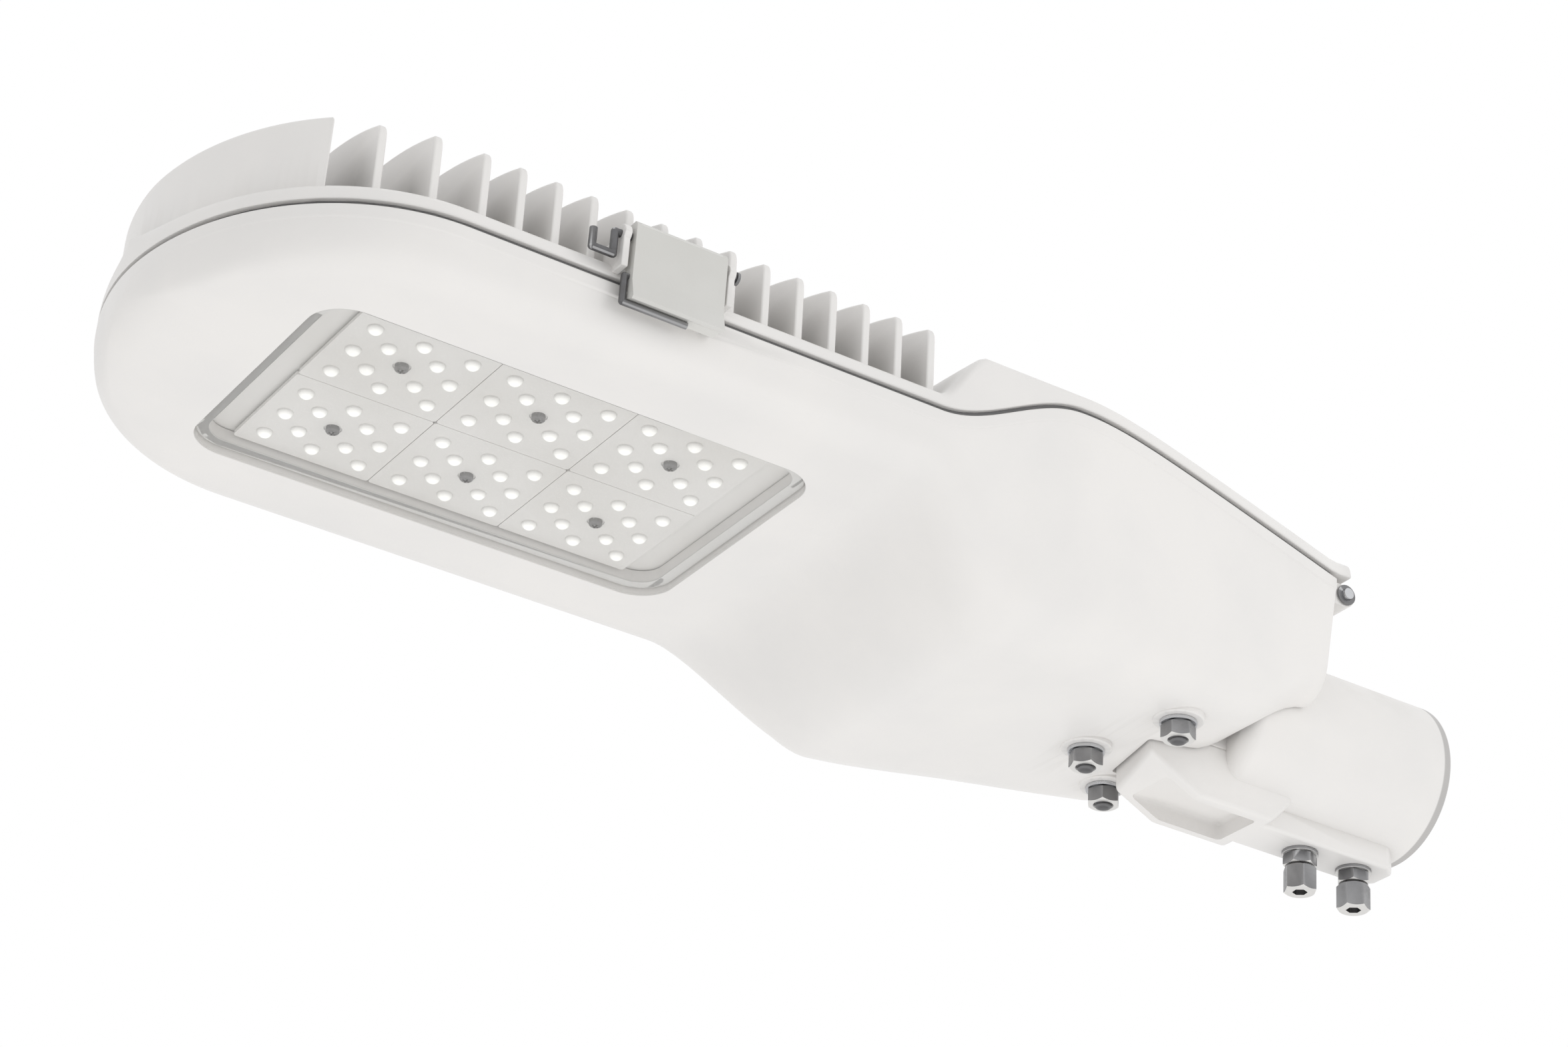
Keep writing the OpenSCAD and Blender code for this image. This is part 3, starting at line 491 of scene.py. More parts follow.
def rounded_rod(r, low, high, origin, axis="Z", edge=0.4, steps=48):
    """A rod whose end edges are rounded."""
    foot = [(r - edge + edge * math.sin(a), low + edge - edge * math.cos(a)) for a in QUARTER]
    head = [(r - edge + edge * math.cos(a), high - edge + edge * math.sin(a)) for a in QUARTER]
    return revolve([(0, low)] + foot + head + [(0, high)], origin, axis, steps)


def round_rect(l, w, r, n=12):
    """Outline of a rectangle with round corners, about its middle."""
    r = max(r, 0.01)
    corners = [(l / 2 - r, w / 2 - r, 0), (-l / 2 + r, w / 2 - r, 90)]
    corners += [(-l / 2 + r, -w / 2 + r, 180), (l / 2 - r, -w / 2 + r, 270)]
    return [p for cx, cy, a in corners for p in arc(cx, cy, r, a, a + 90, n)]


def plate(cx, cy, l, w, r, low, high, edge=0.0):
    """A flat plate with round corners and, with an edge, rounded rims."""
    if not edge:
        rings = [(0, low), (0, high)]
    else:
        rings = [(edge - edge * math.sin(a), low + edge - edge * math.cos(a)) for a in QUARTER]
        rings += [(edge - edge * math.cos(a), high - edge + edge * math.sin(a)) for a in QUARTER]
    return skin([
        [(cx + x, cy + y, z) for x, y in round_rect(l - 2 * d, w - 2 * d, r - d)]
        for d, z in rings
    ])


def box(low, high, edge=0.0):
    """A box between two corners, its edges rounded if edge is given."""
    (x0, y0, z0), (x1, y1, z1) = low, high
    obj = prism([(x0, y0), (x1, y0), (x1, y1), (x0, y1)], z0, z1)
    return eased(obj, edge) if edge else obj


def baked(obj):
    """The object with its modifiers applied."""
    graph = bpy.context.evaluated_depsgraph_get()
    mesh = bpy.data.meshes.new_from_object(obj.evaluated_get(graph))
    obj.modifiers.clear()
    obj.data = mesh
    return obj


def eased(obj, width, segments=3, angle=35):
    """Rounds the object's edges that are sharper than an angle in degrees."""
    m = obj.modifiers.new("ease", "BEVEL")
    m.width, m.segments, m.limit_method = width * MM, segments, "ANGLE"
    m.angle_limit = math.radians(angle)
    return baked(obj)


def combined(obj, others, operation):
    """Adds solids to the object or cuts them from it."""
    for other in others:
        m = obj.modifiers.new("step", "BOOLEAN")
        m.operation, m.solver, m.object = operation, "MANIFOLD", other
    baked(obj)
    for other in others:
        bpy.data.objects.remove(other)
    return obj


def joined(obj, *others):
    return combined(obj, others, "UNION")


def cut(obj, *others):
    return combined(obj, others, "DIFFERENCE")


def merged(objs):
    """One object of several that don't touch."""
    bm = bmesh.new()
    for o in objs:
        bm.from_mesh(o.data)
    mesh = bpy.data.meshes.new("merged")
    bm.to_mesh(mesh)
    bm.free()
    for o in objs:
        bpy.data.objects.remove(o)
    return new_object("merged", mesh)


def dressed(obj, name, body, material, replaces=(), sharp=32):
    """Names a finished piece, shades it, gives it its material and puts it on its body."""
    obj.name = obj.data.name = name
    obj.data.shade_smooth()
    obj.data.set_sharp_from_angle(angle=math.radians(sharp))
    weigh = obj.modifiers.new("normals", "WEIGHTED_NORMAL")
    weigh.keep_sharp = True
    baked(obj)
    obj.data.materials.clear()
    obj.data.materials.append(material)
    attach(obj, body)
    if replaces:
        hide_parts(*replaces)
    return obj


def softened(node, material, width):
    """Keeps a CAD node, with eased edges and a better finish."""
    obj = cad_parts[node]
    weld = obj.modifiers.new("weld", "WELD")
    weld.merge_threshold = 1e-6
    if width:
        ease = obj.modifiers.new("ease", "BEVEL")
        ease.width, ease.segments, ease.limit_method = width * MM, 2, "ANGLE"
        ease.angle_limit = math.radians(40)
        ease.harden_normals = False
    for s in obj.material_slots:
        s.material = material
    if not obj.material_slots:
        obj.data.materials.append(material)
    return obj


# Finishes


def put(tree, kind, inputs=None, **settings):
    """A node with its settings. An input is a value, or another node's output."""
    node = tree.nodes.new(kind)
    for key, value in settings.items():
        setattr(node, key, value)
    for key, value in (inputs or {}).items():
        if isinstance(value, bpy.types.NodeSocket):
            tree.links.new(value, node.inputs[key])
        else:
            node.inputs[key].default_value = value
    return node


def sums(tree, operation, *values):
    """A maths node's output."""
    return put(tree, "ShaderNodeMath", dict(enumerate(values)), operation=operation).outputs[0]


def spread(tree, value, low, high, out_low=0.0, out_high=1.0):
    """A value's range stretched to another range and held inside it."""
    names = {"Value": value, "From Min": low, "From Max": high}
    names.update({"To Min": out_low, "To Max": out_high})
    return put(tree, "ShaderNodeMapRange", names, clamp=True).outputs[0]


def mixed(tree, mask, a, b):
    """Colour a where the mask is 0 and b where it is 1."""
    node = put(tree, "ShaderNodeMix", data_type="RGBA")
    for key, value in ((0, mask), (6, a), (7, b)):
        if isinstance(value, bpy.types.NodeSocket):
            tree.links.new(value, node.inputs[key])
        else:
            node.inputs[key].default_value = value
    return node.outputs[2]


def noise(tree, place, scale, detail=3.0, roughness=0.5):
    names = {"Vector": place, "Scale": scale, "Detail": detail, "Roughness": roughness}
    return put(tree, "ShaderNodeTexNoise", names).outputs[0]


def new_group(name, inputs, outputs):
    """An empty shader node group with its named sockets, and its input node."""
    tree = bpy.data.node_groups.new(name, "ShaderNodeTree")
    for label, kind, value in inputs:
        socket = tree.interface.new_socket(label, in_out="INPUT", socket_type=kind)
        socket.default_value = value
    for label, kind in outputs:
        tree.interface.new_socket(label, in_out="OUTPUT", socket_type=kind)
    return tree, tree.nodes.new("NodeGroupInput")


def close_group(tree, **values):
    end = tree.nodes.new("NodeGroupOutput")
    for label, value in values.items():
        tree.links.new(value, end.inputs[label])
    return tree


NUMBER, COLOUR = "NodeSocketFloat", "NodeSocketColor"


def place_in(tree):
    return put(tree, "ShaderNodeTexCoord").outputs["Object"]


def facing_in(tree):
    """The surface's direction in the object's own frame, which turns with the piece."""
    return put(tree, "ShaderNodeSeparateXYZ",
               {0: put(tree, "ShaderNodeTexCoord").outputs["Normal"]}).outputs


def pointiness(tree):
    """Above a half on outer edges and below it in hollows."""
    return put(tree, "ShaderNodeNewGeometry").outputs["Pointiness"]


def powder_coat_group():
    """Orange peel, faint clouds of tint, dust on top, thin, greyer paint on the edges, and painted
    shade in hollows.
    """
    tree, given = new_group(
        "Powder Coat",
        [("Colour", COLOUR, (0.8, 0.8, 0.8, 1)), ("Tint", COLOUR, (0.7, 0.7, 0.7, 1)),
         ("Roughness", NUMBER, 0.45), ("Peel Size", NUMBER, 900.0), ("Dust", NUMBER, 0.25)],
        [("Colour", COLOUR), ("Roughness", NUMBER), ("Height", NUMBER)],
    )
    thin_paint, hollow_shade = (0.60, 0.59, 0.575, 1), (0.52, 0.50, 0.47, 1)
    pale_dust = (0.55, 0.52, 0.46, 1)
    at = place_in(tree)
    clouds = spread(tree, noise(tree, at, 14.0, 4.0, 0.55), 0.38, 0.66)
    coat = mixed(tree, clouds, given.outputs["Colour"], given.outputs["Tint"])
    geometry = put(tree, "ShaderNodeNewGeometry")
    edges = spread(tree, geometry.outputs["Pointiness"], 0.52, 0.62, 0.0, 0.35)
    coat = mixed(tree, edges, coat, thin_paint)
    # Painted shade: hollows are darkened towards grey-brown, as if shade fell in them.
    hollows = spread(tree, geometry.outputs["Pointiness"], 0.40, 0.48, 0.45, 0.0)
    coat = mixed(tree, hollows, coat, hollow_shade)
    up = facing_in(tree)[2]
    specks = spread(tree, noise(tree, at, 60.0, 6.0, 0.7), 0.45, 0.75)
    dust = sums(tree, "MULTIPLY", sums(tree, "MULTIPLY", spread(tree, up, 0.3, 1.0), specks),
                given.outputs["Dust"])
    coat = mixed(tree, dust, coat, pale_dust)
    peel = noise(tree, at, given.outputs["Peel Size"], 2.0, 0.4)
    patches = spread(tree, noise(tree, at, 30.0, 3.0), 0.3, 0.7, -0.05, 0.07)
    rough = sums(tree, "ADD", sums(tree, "ADD", given.outputs["Roughness"], patches),
                 sums(tree, "MULTIPLY", dust, 0.4))
    wave = noise(tree, at, 120.0, 2.0, 0.4)
    height = sums(tree, "ADD", peel, sums(tree, "MULTIPLY", wave, 0.6))
    return close_group(tree, Colour=coat, Roughness=rough, Height=height)


def worked_metal_group():
    """Metal with fine draw lines along X, and stains."""
    tree, given = new_group(
        "Worked Metal",
        [("Colour", COLOUR, (0.6, 0.6, 0.6, 1)), ("Stain", COLOUR, (0.4, 0.4, 0.4, 1)),
         ("Roughness", NUMBER, 0.35), ("Lines", NUMBER, 1.0), ("Stains", NUMBER, 0.5)],
        [("Colour", COLOUR), ("Roughness", NUMBER), ("Height", NUMBER)],
    )
    at = place_in(tree)
    drawn = put(tree, "ShaderNodeMapping",
                {"Vector": at, "Scale": (30.0, 1600.0, 1600.0)}).outputs[0]
    lines = noise(tree, drawn, 1.0, 3.0, 0.6)
    blots = spread(tree, noise(tree, at, 90.0, 5.0, 0.6), 0.45, 0.7)
    tint = mixed(tree, sums(tree, "MULTIPLY", blots, given.outputs["Stains"]),
                 given.outputs["Colour"], given.outputs["Stain"])
    edges = spread(tree, pointiness(tree), 0.52, 0.62, 0.0, 0.6)
    tint = mixed(tree, edges, tint, (0.72, 0.72, 0.73, 1))
    rough = sums(tree, "ADD", given.outputs["Roughness"], spread(tree, lines, 0.3, 0.7, -0.08, 0.1))
    rough = sums(tree, "ADD", rough, sums(tree, "MULTIPLY", blots, 0.12))
    height = sums(tree, "MULTIPLY", lines, given.outputs["Lines"])
    return close_group(tree, Colour=tint, Roughness=rough, Height=height)


def moulded_group():
    """Moulded plastic or rubber: fine spark texture, and paler where it is rubbed."""
    tree, given = new_group(
        "Moulded",
        [("Colour", COLOUR, (0.1, 0.1, 0.1, 1)), ("Rubbed", COLOUR, (0.3, 0.3, 0.3, 1)),
         ("Roughness", NUMBER, 0.5), ("Texture Size", NUMBER, 1400.0)],
        [("Colour", COLOUR), ("Roughness", NUMBER), ("Height", NUMBER)],
    )
    at = place_in(tree)
    edges = spread(tree, pointiness(tree), 0.51, 0.60, 0.0, 0.5)
    patches = spread(tree, noise(tree, at, 40.0, 4.0), 0.4, 0.7, 0.0, 0.22)
    tint = mixed(tree, sums(tree, "MAXIMUM", edges, patches), given.outputs["Colour"],
                 given.outputs["Rubbed"])
    spark = noise(tree, at, given.outputs["Texture Size"], 2.0, 0.6)
    rough = sums(tree, "ADD", given.outputs["Roughness"],
                 spread(tree, spark, 0.3, 0.7, -0.06, 0.08))
    return close_group(tree, Colour=tint, Roughness=rough, Height=spark)


GROUPS = {}


def group(maker):
    if maker not in GROUPS:
        GROUPS[maker] = maker()
    return GROUPS[maker]


def finished(name, maker, values, height=0.00002, **plain):
    """A material that takes its colour, roughness and relief from a group."""
    made = bpy.data.materials.get(name)
    if made:
        return made
    material = bpy.data.materials.new(name)
    material.use_nodes = True
    tree = material.node_tree
    surface = tree.nodes["Principled BSDF"]
    effect = put(tree, "ShaderNodeGroup", node_tree=group(maker))
    for key, value in values.items():
        effect.inputs[key].default_value = value
    tree.links.new(effect.outputs["Colour"], surface.inputs["Base Color"])
    tree.links.new(effect.outputs["Roughness"], surface.inputs["Roughness"])
    relief = put(tree, "ShaderNodeBump",
                 {"Height": effect.outputs["Height"], "Distance": height, "Strength": 1.0})
    tree.links.new(relief.outputs[0], surface.inputs["Normal"])
    for key, value in plain.items():
        surface.inputs[key.replace("_", " ")].default_value = value
    return material


def powder_coat(name, colour, tint, roughness, peel, dust):
    """A finish of powder coat under a thin gloss."""
    values = {"Colour": colour, "Tint": tint, "Roughness": roughness, "Peel Size": peel,
              "Dust": dust}
    return finished(name, powder_coat_group, values, 0.00004, Coat_Weight=0.15, Coat_Roughness=0.25)


def metal(name, colour, stain, roughness, lines, metallic=1.0, relief=0.00001):
    """A finish of drawn or machined metal."""
    values = {"Colour": colour, "Stain": stain, "Roughness": roughness, "Lines": lines}
    return finished(name, worked_metal_group, values, relief, Metallic=metallic)


def white_coat():
    look = finish()
    return powder_coat("white_powder_coat", look.coat, look.coat_tint, 0.40, 700.0, 0.3)


def marked_coat(name, mask, tint):
    """The castings' coat with another tint where a mask is 1."""
    made = bpy.data.materials.get(name)
    if made:
        return made
    material = white_coat().copy()
    material.name = name
    tree = material.node_tree
    surface = tree.nodes["Principled BSDF"]
    base = surface.inputs["Base Color"].links[0].from_socket
    tree.links.new(mixed(tree, mask(tree), base, tint), surface.inputs["Base Color"])
    return material


def collar_coat():
    """Coat with painted shade, grey at the rounded rim of the collar's mouth."""

    # Painted shade: the collar's last 4 mm towards its mouth turn grey.
    def rim(tree):
        along = put(tree, "ShaderNodeSeparateXYZ", {0: place_in(tree)}).outputs[0]
        return spread(tree, along, -4.4 * MM, -3.7 * MM, 0.0, 0.9)

    return marked_coat("white_powder_coat_mouth_shade", rim, (0.45, 0.44, 0.43, 1))


def cover_coat():
    """Coat with painted shade on the fins' faces, darkest at their feet and deeper in the gaps
    between them.
    """
    f = form()

    # Painted shade: a dark mask on the faces of the fins, low down and deep in the gaps.
    def fin_gap_shade(tree):
        at = put(tree, "ShaderNodeSeparateXYZ", {0: place_in(tree)}).outputs
        facing = sums(tree, "ABSOLUTE", facing_in(tree)[0])
        foot = spread(tree, at[2], (f.fin_edge_z - 4) * MM, f.ceiling_z * MM)
        foot = sums(tree, "MULTIPLY", foot, spread(tree, facing, 0.7, 0.95))
        out = sums(tree, "ABSOLUTE", at[1])
        foot = sums(tree, "MULTIPLY", foot,
                    spread(tree, out, (f.head_half - 6) * MM, (f.head_half - 26) * MM))
        start, stop = f.nose_x + f.cap_len, f.step_x + 30
        span = sums(tree, "MULTIPLY", spread(tree, at[0], (start - 2) * MM, (start - 0.5) * MM),
                    spread(tree, at[0], (stop + 6) * MM, stop * MM))
        patches = spread(tree, noise(tree, place_in(tree), 45.0, 5.0, 0.6), 0.2, 0.6, 0.6, 1.0)
        return sums(tree, "MULTIPLY", sums(tree, "MULTIPLY", foot, span), patches)

    # The near-black tint is the colour of the painted shade.
    return marked_coat("white_powder_coat_fins_shade", fin_gap_shade, (0.16, 0.155, 0.14, 1))


def latch_coat():
    """The greyer coat of the stamped latch."""
    return powder_coat("latch_grey_coat", finish().latch, (0.60, 0.595, 0.565, 1), 0.38, 900.0, 0.2)


def dark_steel(name="darkened_steel"):
    return metal(name, finish().steel, (0.09, 0.085, 0.08, 1), 0.36, 0.5, metallic=0.85)


def nut_steel():
    """Darkened nuts and heads whose faces that look down carry a painted highlight, but not the
    bolt ends.
    """
    material = dark_steel("nut_steel")
    tree = material.node_tree
    if "lit_below" not in tree.nodes:
        surface = tree.nodes["Principled BSDF"]
        base = surface.inputs["Base Color"].links[0].from_socket
        # Painted highlight: faces that look down, towards the lamp below, are made nearly white.
        down = {"Value": facing_in(tree)[2], "From Min": -0.6, "From Max": -0.84}
        lit_below = put(tree, "ShaderNodeMapRange", down, clamp=True)
        lit_below.name = "lit_below"
        bright = mixed(tree, lit_below.outputs[0], base, (0.92, 0.91, 0.89, 1))
        tree.links.new(bright, surface.inputs["Base Color"])
    return material


def zinc_steel():
    return metal("zinc_plated_steel", finish().zinc, (0.5, 0.5, 0.48, 1), 0.28, 0.6)


def raw_aluminium():
    return metal("raw_aluminium", finish().aluminium, (0.58, 0.58, 0.58, 1), 0.34, 1.0,
                 relief=0.00002)


def brass():
    return metal("brass", (0.78, 0.58, 0.22, 1), (0.5, 0.36, 0.16, 1), 0.28, 0.5)


def rubber():
    look = finish()
    return finished("gasket_rubber", moulded_group,
                    {"Colour": look.rubber, "Rubbed": (0.20, 0.20, 0.20, 1), "Roughness": 0.72,
                     "Texture Size": 900.0},
                    0.00003)


def sealant():
    look = finish()
    return finished("glass_sealant", moulded_group,
                    {"Colour": look.sealant, "Rubbed": (0.71, 0.705, 0.69, 1), "Roughness": 0.6,
                     "Texture Size": 500.0})


def plastic(name, colour, rubbed, roughness=0.42):
    return finished(name, moulded_group,
                    {"Colour": colour, "Rubbed": rubbed, "Roughness": roughness})


def black_nylon():
    return plastic("black_nylon", (0.03, 0.03, 0.032, 1), (0.1, 0.1, 0.1, 1))


def lens_plastic():
    """The moulded lens plate: a greyer plate with bright domes that stand out of it, whitened
    towards their tips and given a painted glow there.
    """
    look, f = finish(), form()
    material = finished("lens_plate", moulded_group,
                        {"Colour": look.plate, "Rubbed": (0.79, 0.78, 0.76, 1),
                         "Roughness": 0.22}, 0.000005)
    tree = material.node_tree
    surface = tree.nodes["Principled BSDF"]
    if "dome mask" not in tree.nodes:
        base = surface.inputs["Base Color"].links[0].from_socket
        depth = put(tree, "ShaderNodeSeparateXYZ", {0: place_in(tree)}).outputs[2]
        mask = put(tree, "ShaderNodeMapRange",
                   {"Value": depth, "From Min": (f.lens_z - 0.2) * MM,
                    "From Max": (f.lens_z - 2.0) * MM}, clamp=True)
        mask.name = "dome mask"
        # The mask whitens the colour towards the dome tips: part the lens's own white, part painted
        # highlight.
        tint = mixed(tree, mask.outputs[0], base, look.lens)
        tree.links.new(tint, surface.inputs["Base Color"])
        # Painted light: the domes glow, most at their tips, though they are no lamp.
        painted_glow = mixed(tree, mask.outputs[0], (0, 0, 0, 1), (0.30, 0.30, 0.29, 1))
        tree.links.new(painted_glow, surface.inputs["Emission Color"])
        surface.inputs["Emission Strength"].default_value = 1.0
        surface.inputs["Coat Weight"].default_value = 0.5
    return material


def window_pane():
    """Flat glass, seen through, with a faint, soiled haze."""
    look = finish()
    material = bpy.data.materials.new("window_glass")
    material.use_nodes = True
    tree = material.node_tree
    surface = tree.nodes["Principled BSDF"]
    at = place_in(tree)
    haze = spread(tree, noise(tree, at, 22.0, 5.0, 0.6), 0.4, 0.75, 0.0, 1.0)
    tree.links.new(mixed(tree, haze, look.glass, (0.70, 0.68, 0.64, 1)),
                   surface.inputs["Base Color"])
    tree.links.new(sums(tree, "ADD", sums(tree, "MULTIPLY", haze, 0.05), 0.05),
                   surface.inputs["Roughness"])
    tree.links.new(sums(tree, "ADD", sums(tree, "MULTIPLY", haze, 0.05), 0.10),
                   surface.inputs["Alpha"])
    surface.inputs["IOR"].default_value = 1.5
    return material


# Fasteners


def threaded(r, low, high, origin, tip="low"):
    """A rod with a real helical thread and a domed tip."""
    pitch, depth, steps = THREAD_PITCH, THREAD_DEPTH, 40
    count = max(8, int((high - low) / pitch * 7))
    rings = []
    for i in range(count + 1):
        h = blend(low, high, i / count)
        ring = []
        for j in range(steps):
            turn = j / steps
            phase = ((h - low) / pitch - turn) % 1.0
            groove = depth * abs(2 * phase - 1)
            near = min(1.0, (h - low) / pitch) if tip == "low" else min(1.0, (high - h) / pitch)
            rr = r - depth * 0.9 * (1 - near) - groove * near
            a = 2 * math.pi * turn
            ring.append((rr * math.cos(a), rr * math.sin(a), h))
        rings.append(ring)
    dome_at, sign = (low, -1) if tip == "low" else (high, 1)
    base = r - depth * 0.9
    around = [2 * math.pi * j / steps for j in range(steps)]
    domes = []
    for k in (1, 2, 3):
        a = k / 3 * 1.35
        up = dome_at + sign * TIP_H * math.sin(a)
        domes.append([(base * math.cos(a) * math.cos(t), base * math.cos(a) * math.sin(t), up)
                      for t in around])
    rings = list(reversed(domes)) + rings if tip == "low" else rings + domes
    ox, oy, oz = origin
    return skin([[(ox + x, oy + y, oz + z) for x, y, z in ring] for ring in rings])


def hexagon(across, low, high, origin, turn, hole=0.0, both=True):
    """A hexagon nut or head with chamfered corners, and a hole if one is given."""
    ox, oy, oz = origin
    r = across / 2 / math.cos(math.radians(30))
    turns = [math.radians(60 * i) + turn for i in range(6)]
    outline = [(ox + r * math.cos(a), oy + r * math.sin(a)) for a in turns]
    body = prism(outline, oz + low, oz + high)
    c = r - across / 2 + 0.15
    foot = [(0, low - 0.5), (r - c + 0.1, low - 0.5), (r - c + 0.1, low), (r, low + c * 0.58)]
    if not both:
        foot = [(0, low - 0.5), (r + 0.5, low - 0.5), (r + 0.5, low + 0.5)]
    head = [(r, high - c * 0.58), (r - c + 0.1, high), (r - c + 0.1, high + 0.5), (0, high + 0.5)]
    turned = revolve(foot + head, origin, "Z", 48)
    combined(body, [turned], "INTERSECT")
    if hole:
        profile = [(0, low - 1), (hole + 0.7, low - 1), (hole + 0.7, low), (hole, low + 0.7),
                   (hole, high - 0.7), (hole + 0.7, high), (hole + 0.7, high + 1), (0, high + 1)]
        cut(body, revolve(profile, origin, "Z", 48))
    return body


def washer(r, hole, low, high, origin):
    """A flat ring with its four edges broken."""
    e = 0.25
    profile = [(hole, low + e), (hole + e, low), (r - e, low), (r, low + e)]
    profile += [(r, high - e), (r - e, high), (hole + e, high), (hole, high - e)]
    return revolve(profile, origin, "Z", 56)


def pan_head(r, h, origin, slot_w):
    """A round screw head that points down, with a cross recess."""
    crown = [(r * math.sin(a), -h + 0.45 * h * (1 - math.cos(a))) for a in (0.35, 0.7, 1.05, 1.4)]
    head = revolve([(0, -h)] + crown + [(r, -0.3 * h), (r, 0), (0, 0)], origin, "Z", 40)
    x, y, z = origin
    arm, half, low, top = r * 0.55, slot_w / 2, z - h - 1, z - h * 0.45
    along = box((x - arm, y - half, low), (x + arm, y + half, top))
    across = box((x - half, y - arm, low), (x + half, y + arm, top))
    cut(head, along)
    cut(head, across)
    return head


# Castings


def slab(f, inset, low, high, end):
    """A band of space inside the outline that follows the split line."""
    rings = []
    for x in f.stations(inset, end):
        w, z = f.half_w(x, inset), f.split_z(x)
        rings.append([(x, w, z + high), (x, w, z + low), (x, -w, z + low), (x, -w, z + high)])
    return skin(rings)


def window_cutter(f, grow, low, high, lip=0.0):
    """The window's outline pushed upward, with a flared mouth if a lip is given."""
    l, w, r = f.glass_l + 2 * grow, f.glass_w + 2 * grow, f.glass_r + grow
    levels = [(0, low), (0, high)]
    if lip:
        mouth = f.belly_head_z
        levels = [(lip + 0.6, low), (lip + 0.6, mouth - 0.6)]
        levels += [(lip * (1 - math.sin(a)), mouth + lip * (1 - math.cos(a)) - 0.02)
                   for a in FINE_QUARTER]
        levels += [(0, high)]
    rings = [[(f.window_x + x, y, z) for x, y in round_rect(l + 2 * d, w + 2 * d, r + d, 14)]
             for d, z in levels]
    return skin(rings)


def neck_plan(f, gap, end):
    """Plan of the neck, cut off at the angle of the rear bolts and grown by a gap."""
    t = math.tan(f.bolt_turn) * f.neck_half_w
    x = f.turned(f.bolt_run, 0)[0]
    w = f.neck_half_w
    return [(x - gap - t, -w - gap), (end, -w - gap), (end, w + gap), (x - gap + t, w + gap)]


def side_span(s, near, far):
    """A span along Y on the side s, from its distances to the axis."""
    return (near, far) if s > 0 else (-far, -near)


def knuckle(f, s, span, foot):
    """One knuckle of the cover's hinge on its foot, with its bore."""
    low, high = side_span(s, *span)
    ring = rounded_rod(f.knuckle_r, low, high, (f.hinge_x, 0, f.hinge_z), "Y", 0.5, 48)
    fx, fz, fl, fh = foot
    joined(ring, box((fx, low + 0.05, fz), (fx + fl, high - 0.05, fz + fh), 0.4))
    return cut(ring, bore(f, low, high))


def bore(f, low, high):
    """The hinge pin's hole, 1 mm longer at both ends."""
    r = f.hinge_pin_r + 0.05
    profile = [(0, low - 1), (r, low - 1), (r, high + 1), (0, high + 1)]
    return revolve(profile, (f.hinge_x, 0, f.hinge_z), "Y", 40)


class LANTERN_OT_lower_casting(bpy.types.Operator):
    """Lower casting: lofted shell with the window's frame, bolt pads, hinge and fitting slot"""

    bl_idname = "lantern.lower_casting"
    bl_label = "Lower casting"

    def execute(self, context):
        f = form()
        w = f.wall
        shell = section_solid(f.stations(), lambda x: f.lower_section(x, 0, 0, 0, f.lower_edge))
        cut(shell, section_solid(f.stations(w, f.tail_x - w),
                                 lambda x: f.lower_section(x, w, w, 2)))
        rim = slab(f, w - 1, -f.rim_t, -0.25, f.tail_x - w + 1)
        cut(rim, slab(f, f.rim_w, -f.rim_t - 1, 1, f.tail_x - f.rim_w))
        joined(shell, rim)
        # The wall round the window stands 7 mm out from the glass and ends short of the board
        low, high = f.belly_head_z + 1, f.board_z - 0.5
        wall = plate(f.window_x, 0, f.glass_l + 14, f.glass_w + 14, f.glass_r + 7, low, high, 0.3)
        joined(shell, wall)
        for x, y in f.bolts:
            z, r, top = f.pad_z(x), f.pad_r, f.tongue_z
            pad = [(0, z), (r - 0.6, z), (r, z + 0.6), (r, top), (0, top)]
            joined(shell, revolve(pad, (x, y, 0), "Z", 64))
        inside = section_solid(f.stations(1, f.tail_x - 1), lambda x: f.lower_section(x, 1, 1, 0))
        posts = [rounded_rod(5, f.tray_z - 60, f.tray_z, (x, y, 0)) for x, y in tray_posts(f)]
        posts = merged(posts)
        combined(posts, [inside], "INTERSECT")
        joined(shell, posts)
        for s in (-1, 1):
            foot = (f.tail_x - 1, f.hinge_z - f.knuckle_r, f.hinge_x - f.tail_x + 1,
                    2 * f.knuckle_r)
            joined(shell, knuckle(f, s, (46, 58), foot))
        joined(shell, latch_ledge(f))
        cut(shell, window_cutter(f, 0.5, -20, f.ledge_z, 0.4))
        cut(shell, window_cutter(f, -f.ledge_w, -20, 40))
        slot = prism(neck_plan(f, 1.2, f.tail_x + 20), -80, f.tongue_z + f.tongue_t + 1)
        cut(shell, eased(slot, 2.0, 4))
        near, far = f.collar_d / 2 + 1, f.collar_d / 2 + 2.2
        collar = [(0, 0), (near, 0), (near, 26), (far, 31), (far, 60), (0, 60)]
        cut(shell, revolve(collar, (f.tail_x - 30, 0, 0), "X", 96))
        for x, y in f.bolts:
            cut(shell, rounded_rod(f.bolt_d / 2 + 0.5, -80, 20, (x, y, 0)))
        for x, y in tray_posts(f):
            cut(shell, rounded_rod(1.6, f.tray_z - 8, f.tray_z + 12, (x, y, 0), steps=24))
        for s in (-1, 1):
            cut(shell, bore(f, *side_span(s, 42, 61)))
        cut(shell, rounded_rod(5.05, 0, f.wall + 10, (f.tail_x - f.wall - 5, 49, 18), "X"))
        dressed(shell, "lower_casting", "housing", white_coat(), ["lower_housing"])
        return {"FINISHED"}


def tray_posts(f):
    """Places of the four posts that carry the gear tray."""
    pair = ((f.shoulder_x - 14, 58), (f.tail_x - 112, 50))
    return [(x, s * y) for s in (-1, 1) for x, y in pair]


def across_latch(x, l, section):
    """A bar along X at the near flank, from a section whose first axis points out of the flank."""
    return prism([(-out, z) for out, z in section], x, x + l, "X")


